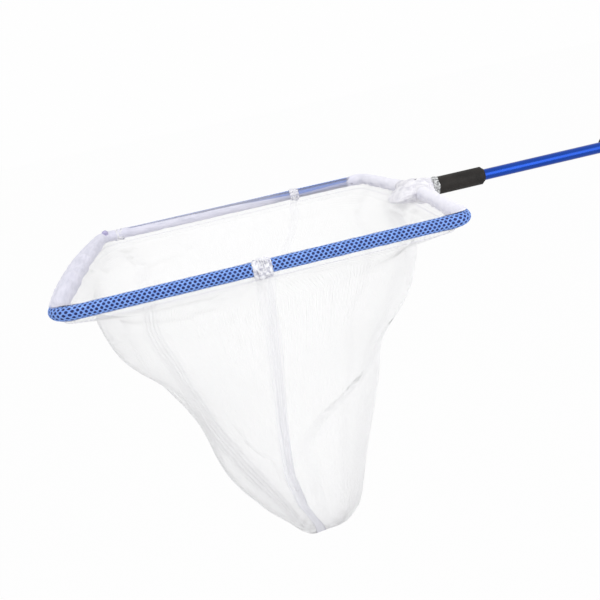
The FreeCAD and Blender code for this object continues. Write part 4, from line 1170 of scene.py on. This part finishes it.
def mouth_ring():
    """The frayed ruff of net that stands in front of the ferrule's mouth."""
    rows = []
    for n in range(97):
        angle = 2 * math.pi * n / 96
        away = Vector((0, math.cos(angle), math.sin(angle)))
        row = []
        for k in range(17):
            turn = 2 * math.pi * k / 16
            spot = Vector((FERRULE_X - 3.0 * MM, 0, 0)) + away * 7.9 * MM
            rough = 0.5 * wobble(spot + Vector((k * MM, 0, 0)), 1.6 * MM, 4) + 0.3 * wobble(spot, 3 * MM, 8)
            tube = (1.25 + rough) * MM
            row.append(spot + away * tube * math.cos(turn) + Vector((tube * 2.4 * math.sin(turn), 0, 0)))
        rows.append(row)
    add_piece(grid("neck_ruff", rows), RUFF_NET)


neck_bunch()
mouth_ring()
arm_sleeve("neck_sleeve_front", S_NECK_FRONT, near_end(-22 * MM), 3.6, 3)
arm_sleeve("neck_sleeve_back", near_end(44 * MM), S_NECK_BACK, 4.2, 8)


# The stage: a plain pale floor well below the net, soft light, and the camera.

FLOOR_Z = -0.75
FLOOR_HALF = 30.0


def background_share(nodes, links, camera_share, gloss_share):
    """How much of a surface shows as plain background to each kind of ray."""
    rays = nodes.new("ShaderNodeLightPath")
    seen = calc(nodes, links, "MULTIPLY", rays.outputs["Is Camera Ray"], camera_share)
    for ray in ("Is Glossy Ray", "Is Transmission Ray"):
        share = calc(nodes, links, "MULTIPLY", rays.outputs[ray], gloss_share)
        seen = calc(nodes, links, "MAXIMUM", seen, share)
    return seen


def pale_floor():
    made, nodes, links, shader = material("floor")
    shader.inputs["Base Color"].default_value = (0.70, 0.70, 0.70, 1)
    shader.inputs["Roughness"].default_value = 0.9
    glow = nodes.new("ShaderNodeEmission")
    mix = nodes.new("ShaderNodeMixShader")
    links.new(background_share(nodes, links, 0.96, 0.5), mix.inputs["Fac"])
    links.new(shader.outputs["BSDF"], mix.inputs[1])
    links.new(glow.outputs["Emission"], mix.inputs[2])
    links.new(mix.outputs["Shader"], nodes["Material Output"].inputs["Surface"])
    corners = [(x * FLOOR_HALF, y * FLOOR_HALF) for x, y in ((-1, -1), (1, -1), (1, 1), (-1, 1))]
    floor = make_mesh("floor", [Vector((x, y, FLOOR_Z)) for x, y in corners], [(0, 1, 2, 3)], smooth=False)
    floor.data.materials.append(made)


def white_world():
    """Soft light from all round, a little stronger overhead, with a plain white background."""
    world = bpy.data.worlds.new("studio")
    bpy.context.scene.world = world
    world.use_nodes = True
    nodes, links = world.node_tree.nodes, world.node_tree.links
    around = nodes["Background"]
    around.inputs["Strength"].default_value = 0.93
    place = nodes.new("ShaderNodeTexCoord")
    split = nodes.new("ShaderNodeSeparateXYZ")
    links.new(place.outputs["Generated"], split.inputs["Vector"])
    links.new(ramp(nodes, links, split.outputs["Z"], 0.88, 1.0, 0.0, 0.8), around.inputs["Color"])
    white = nodes.new("ShaderNodeBackground")
    white.inputs["Color"].default_value = (0.992, 0.992, 0.992, 1)
    mix = nodes.new("ShaderNodeMixShader")
    links.new(background_share(nodes, links, 1.0, 1.0), mix.inputs["Fac"])
    links.new(around.outputs["Background"], mix.inputs[1])
    links.new(white.outputs["Background"], mix.inputs[2])
    links.new(mix.outputs["Shader"], nodes["World Output"].inputs["Surface"])


def softbox(name, place, target, size, power):
    data = bpy.data.lights.new(name, "AREA")
    data.shape = "SQUARE"
    data.size = size
    data.energy = power
    lamp = bpy.data.objects.new(name, data)
    lamp.location = place
    lamp.rotation_euler = (Vector(target) - Vector(place)).to_track_quat("-Z", "Y").to_euler()
    bpy.context.scene.collection.objects.link(lamp)


EYE = (CENTRE_X - 0.03457, -0.61125, 0.11421)
PITCH, YAW, ROLL = 0.301094, 0.109863, -0.209342


def camera():
    """The view of the net from in front and a little above, rolled as it is held."""
    ahead = Vector((math.sin(YAW) * math.cos(PITCH), math.cos(YAW) * math.cos(PITCH), -math.sin(PITCH)))
    level = Vector((math.cos(YAW), -math.sin(YAW), 0))
    high = level.cross(ahead)
    side = level * math.cos(ROLL) + high * math.sin(ROLL)
    top = high * math.cos(ROLL) - level * math.sin(ROLL)
    data = bpy.data.cameras.new("camera")
    data.sensor_width = 36.0
    data.lens = 40.74
    eye = bpy.data.objects.new("camera", data)
    turn = Matrix((side, top, -ahead)).transposed().to_4x4()
    eye.matrix_world = Matrix.Translation(EYE) @ turn
    bpy.context.scene.collection.objects.link(eye)
    bpy.context.scene.camera = eye


pale_floor()
white_world()
target = (CENTRE_X + 0.1, 0, -0.1)
softbox("key", (CENTRE_X - 0.3, -0.5, 1.1), target, 0.9, 3.5)
softbox("fill", (CENTRE_X + 0.7, -1.4, 0.15), target, 1.2, 9)
camera()
bpy.context.scene.view_settings.view_transform = "Standard"
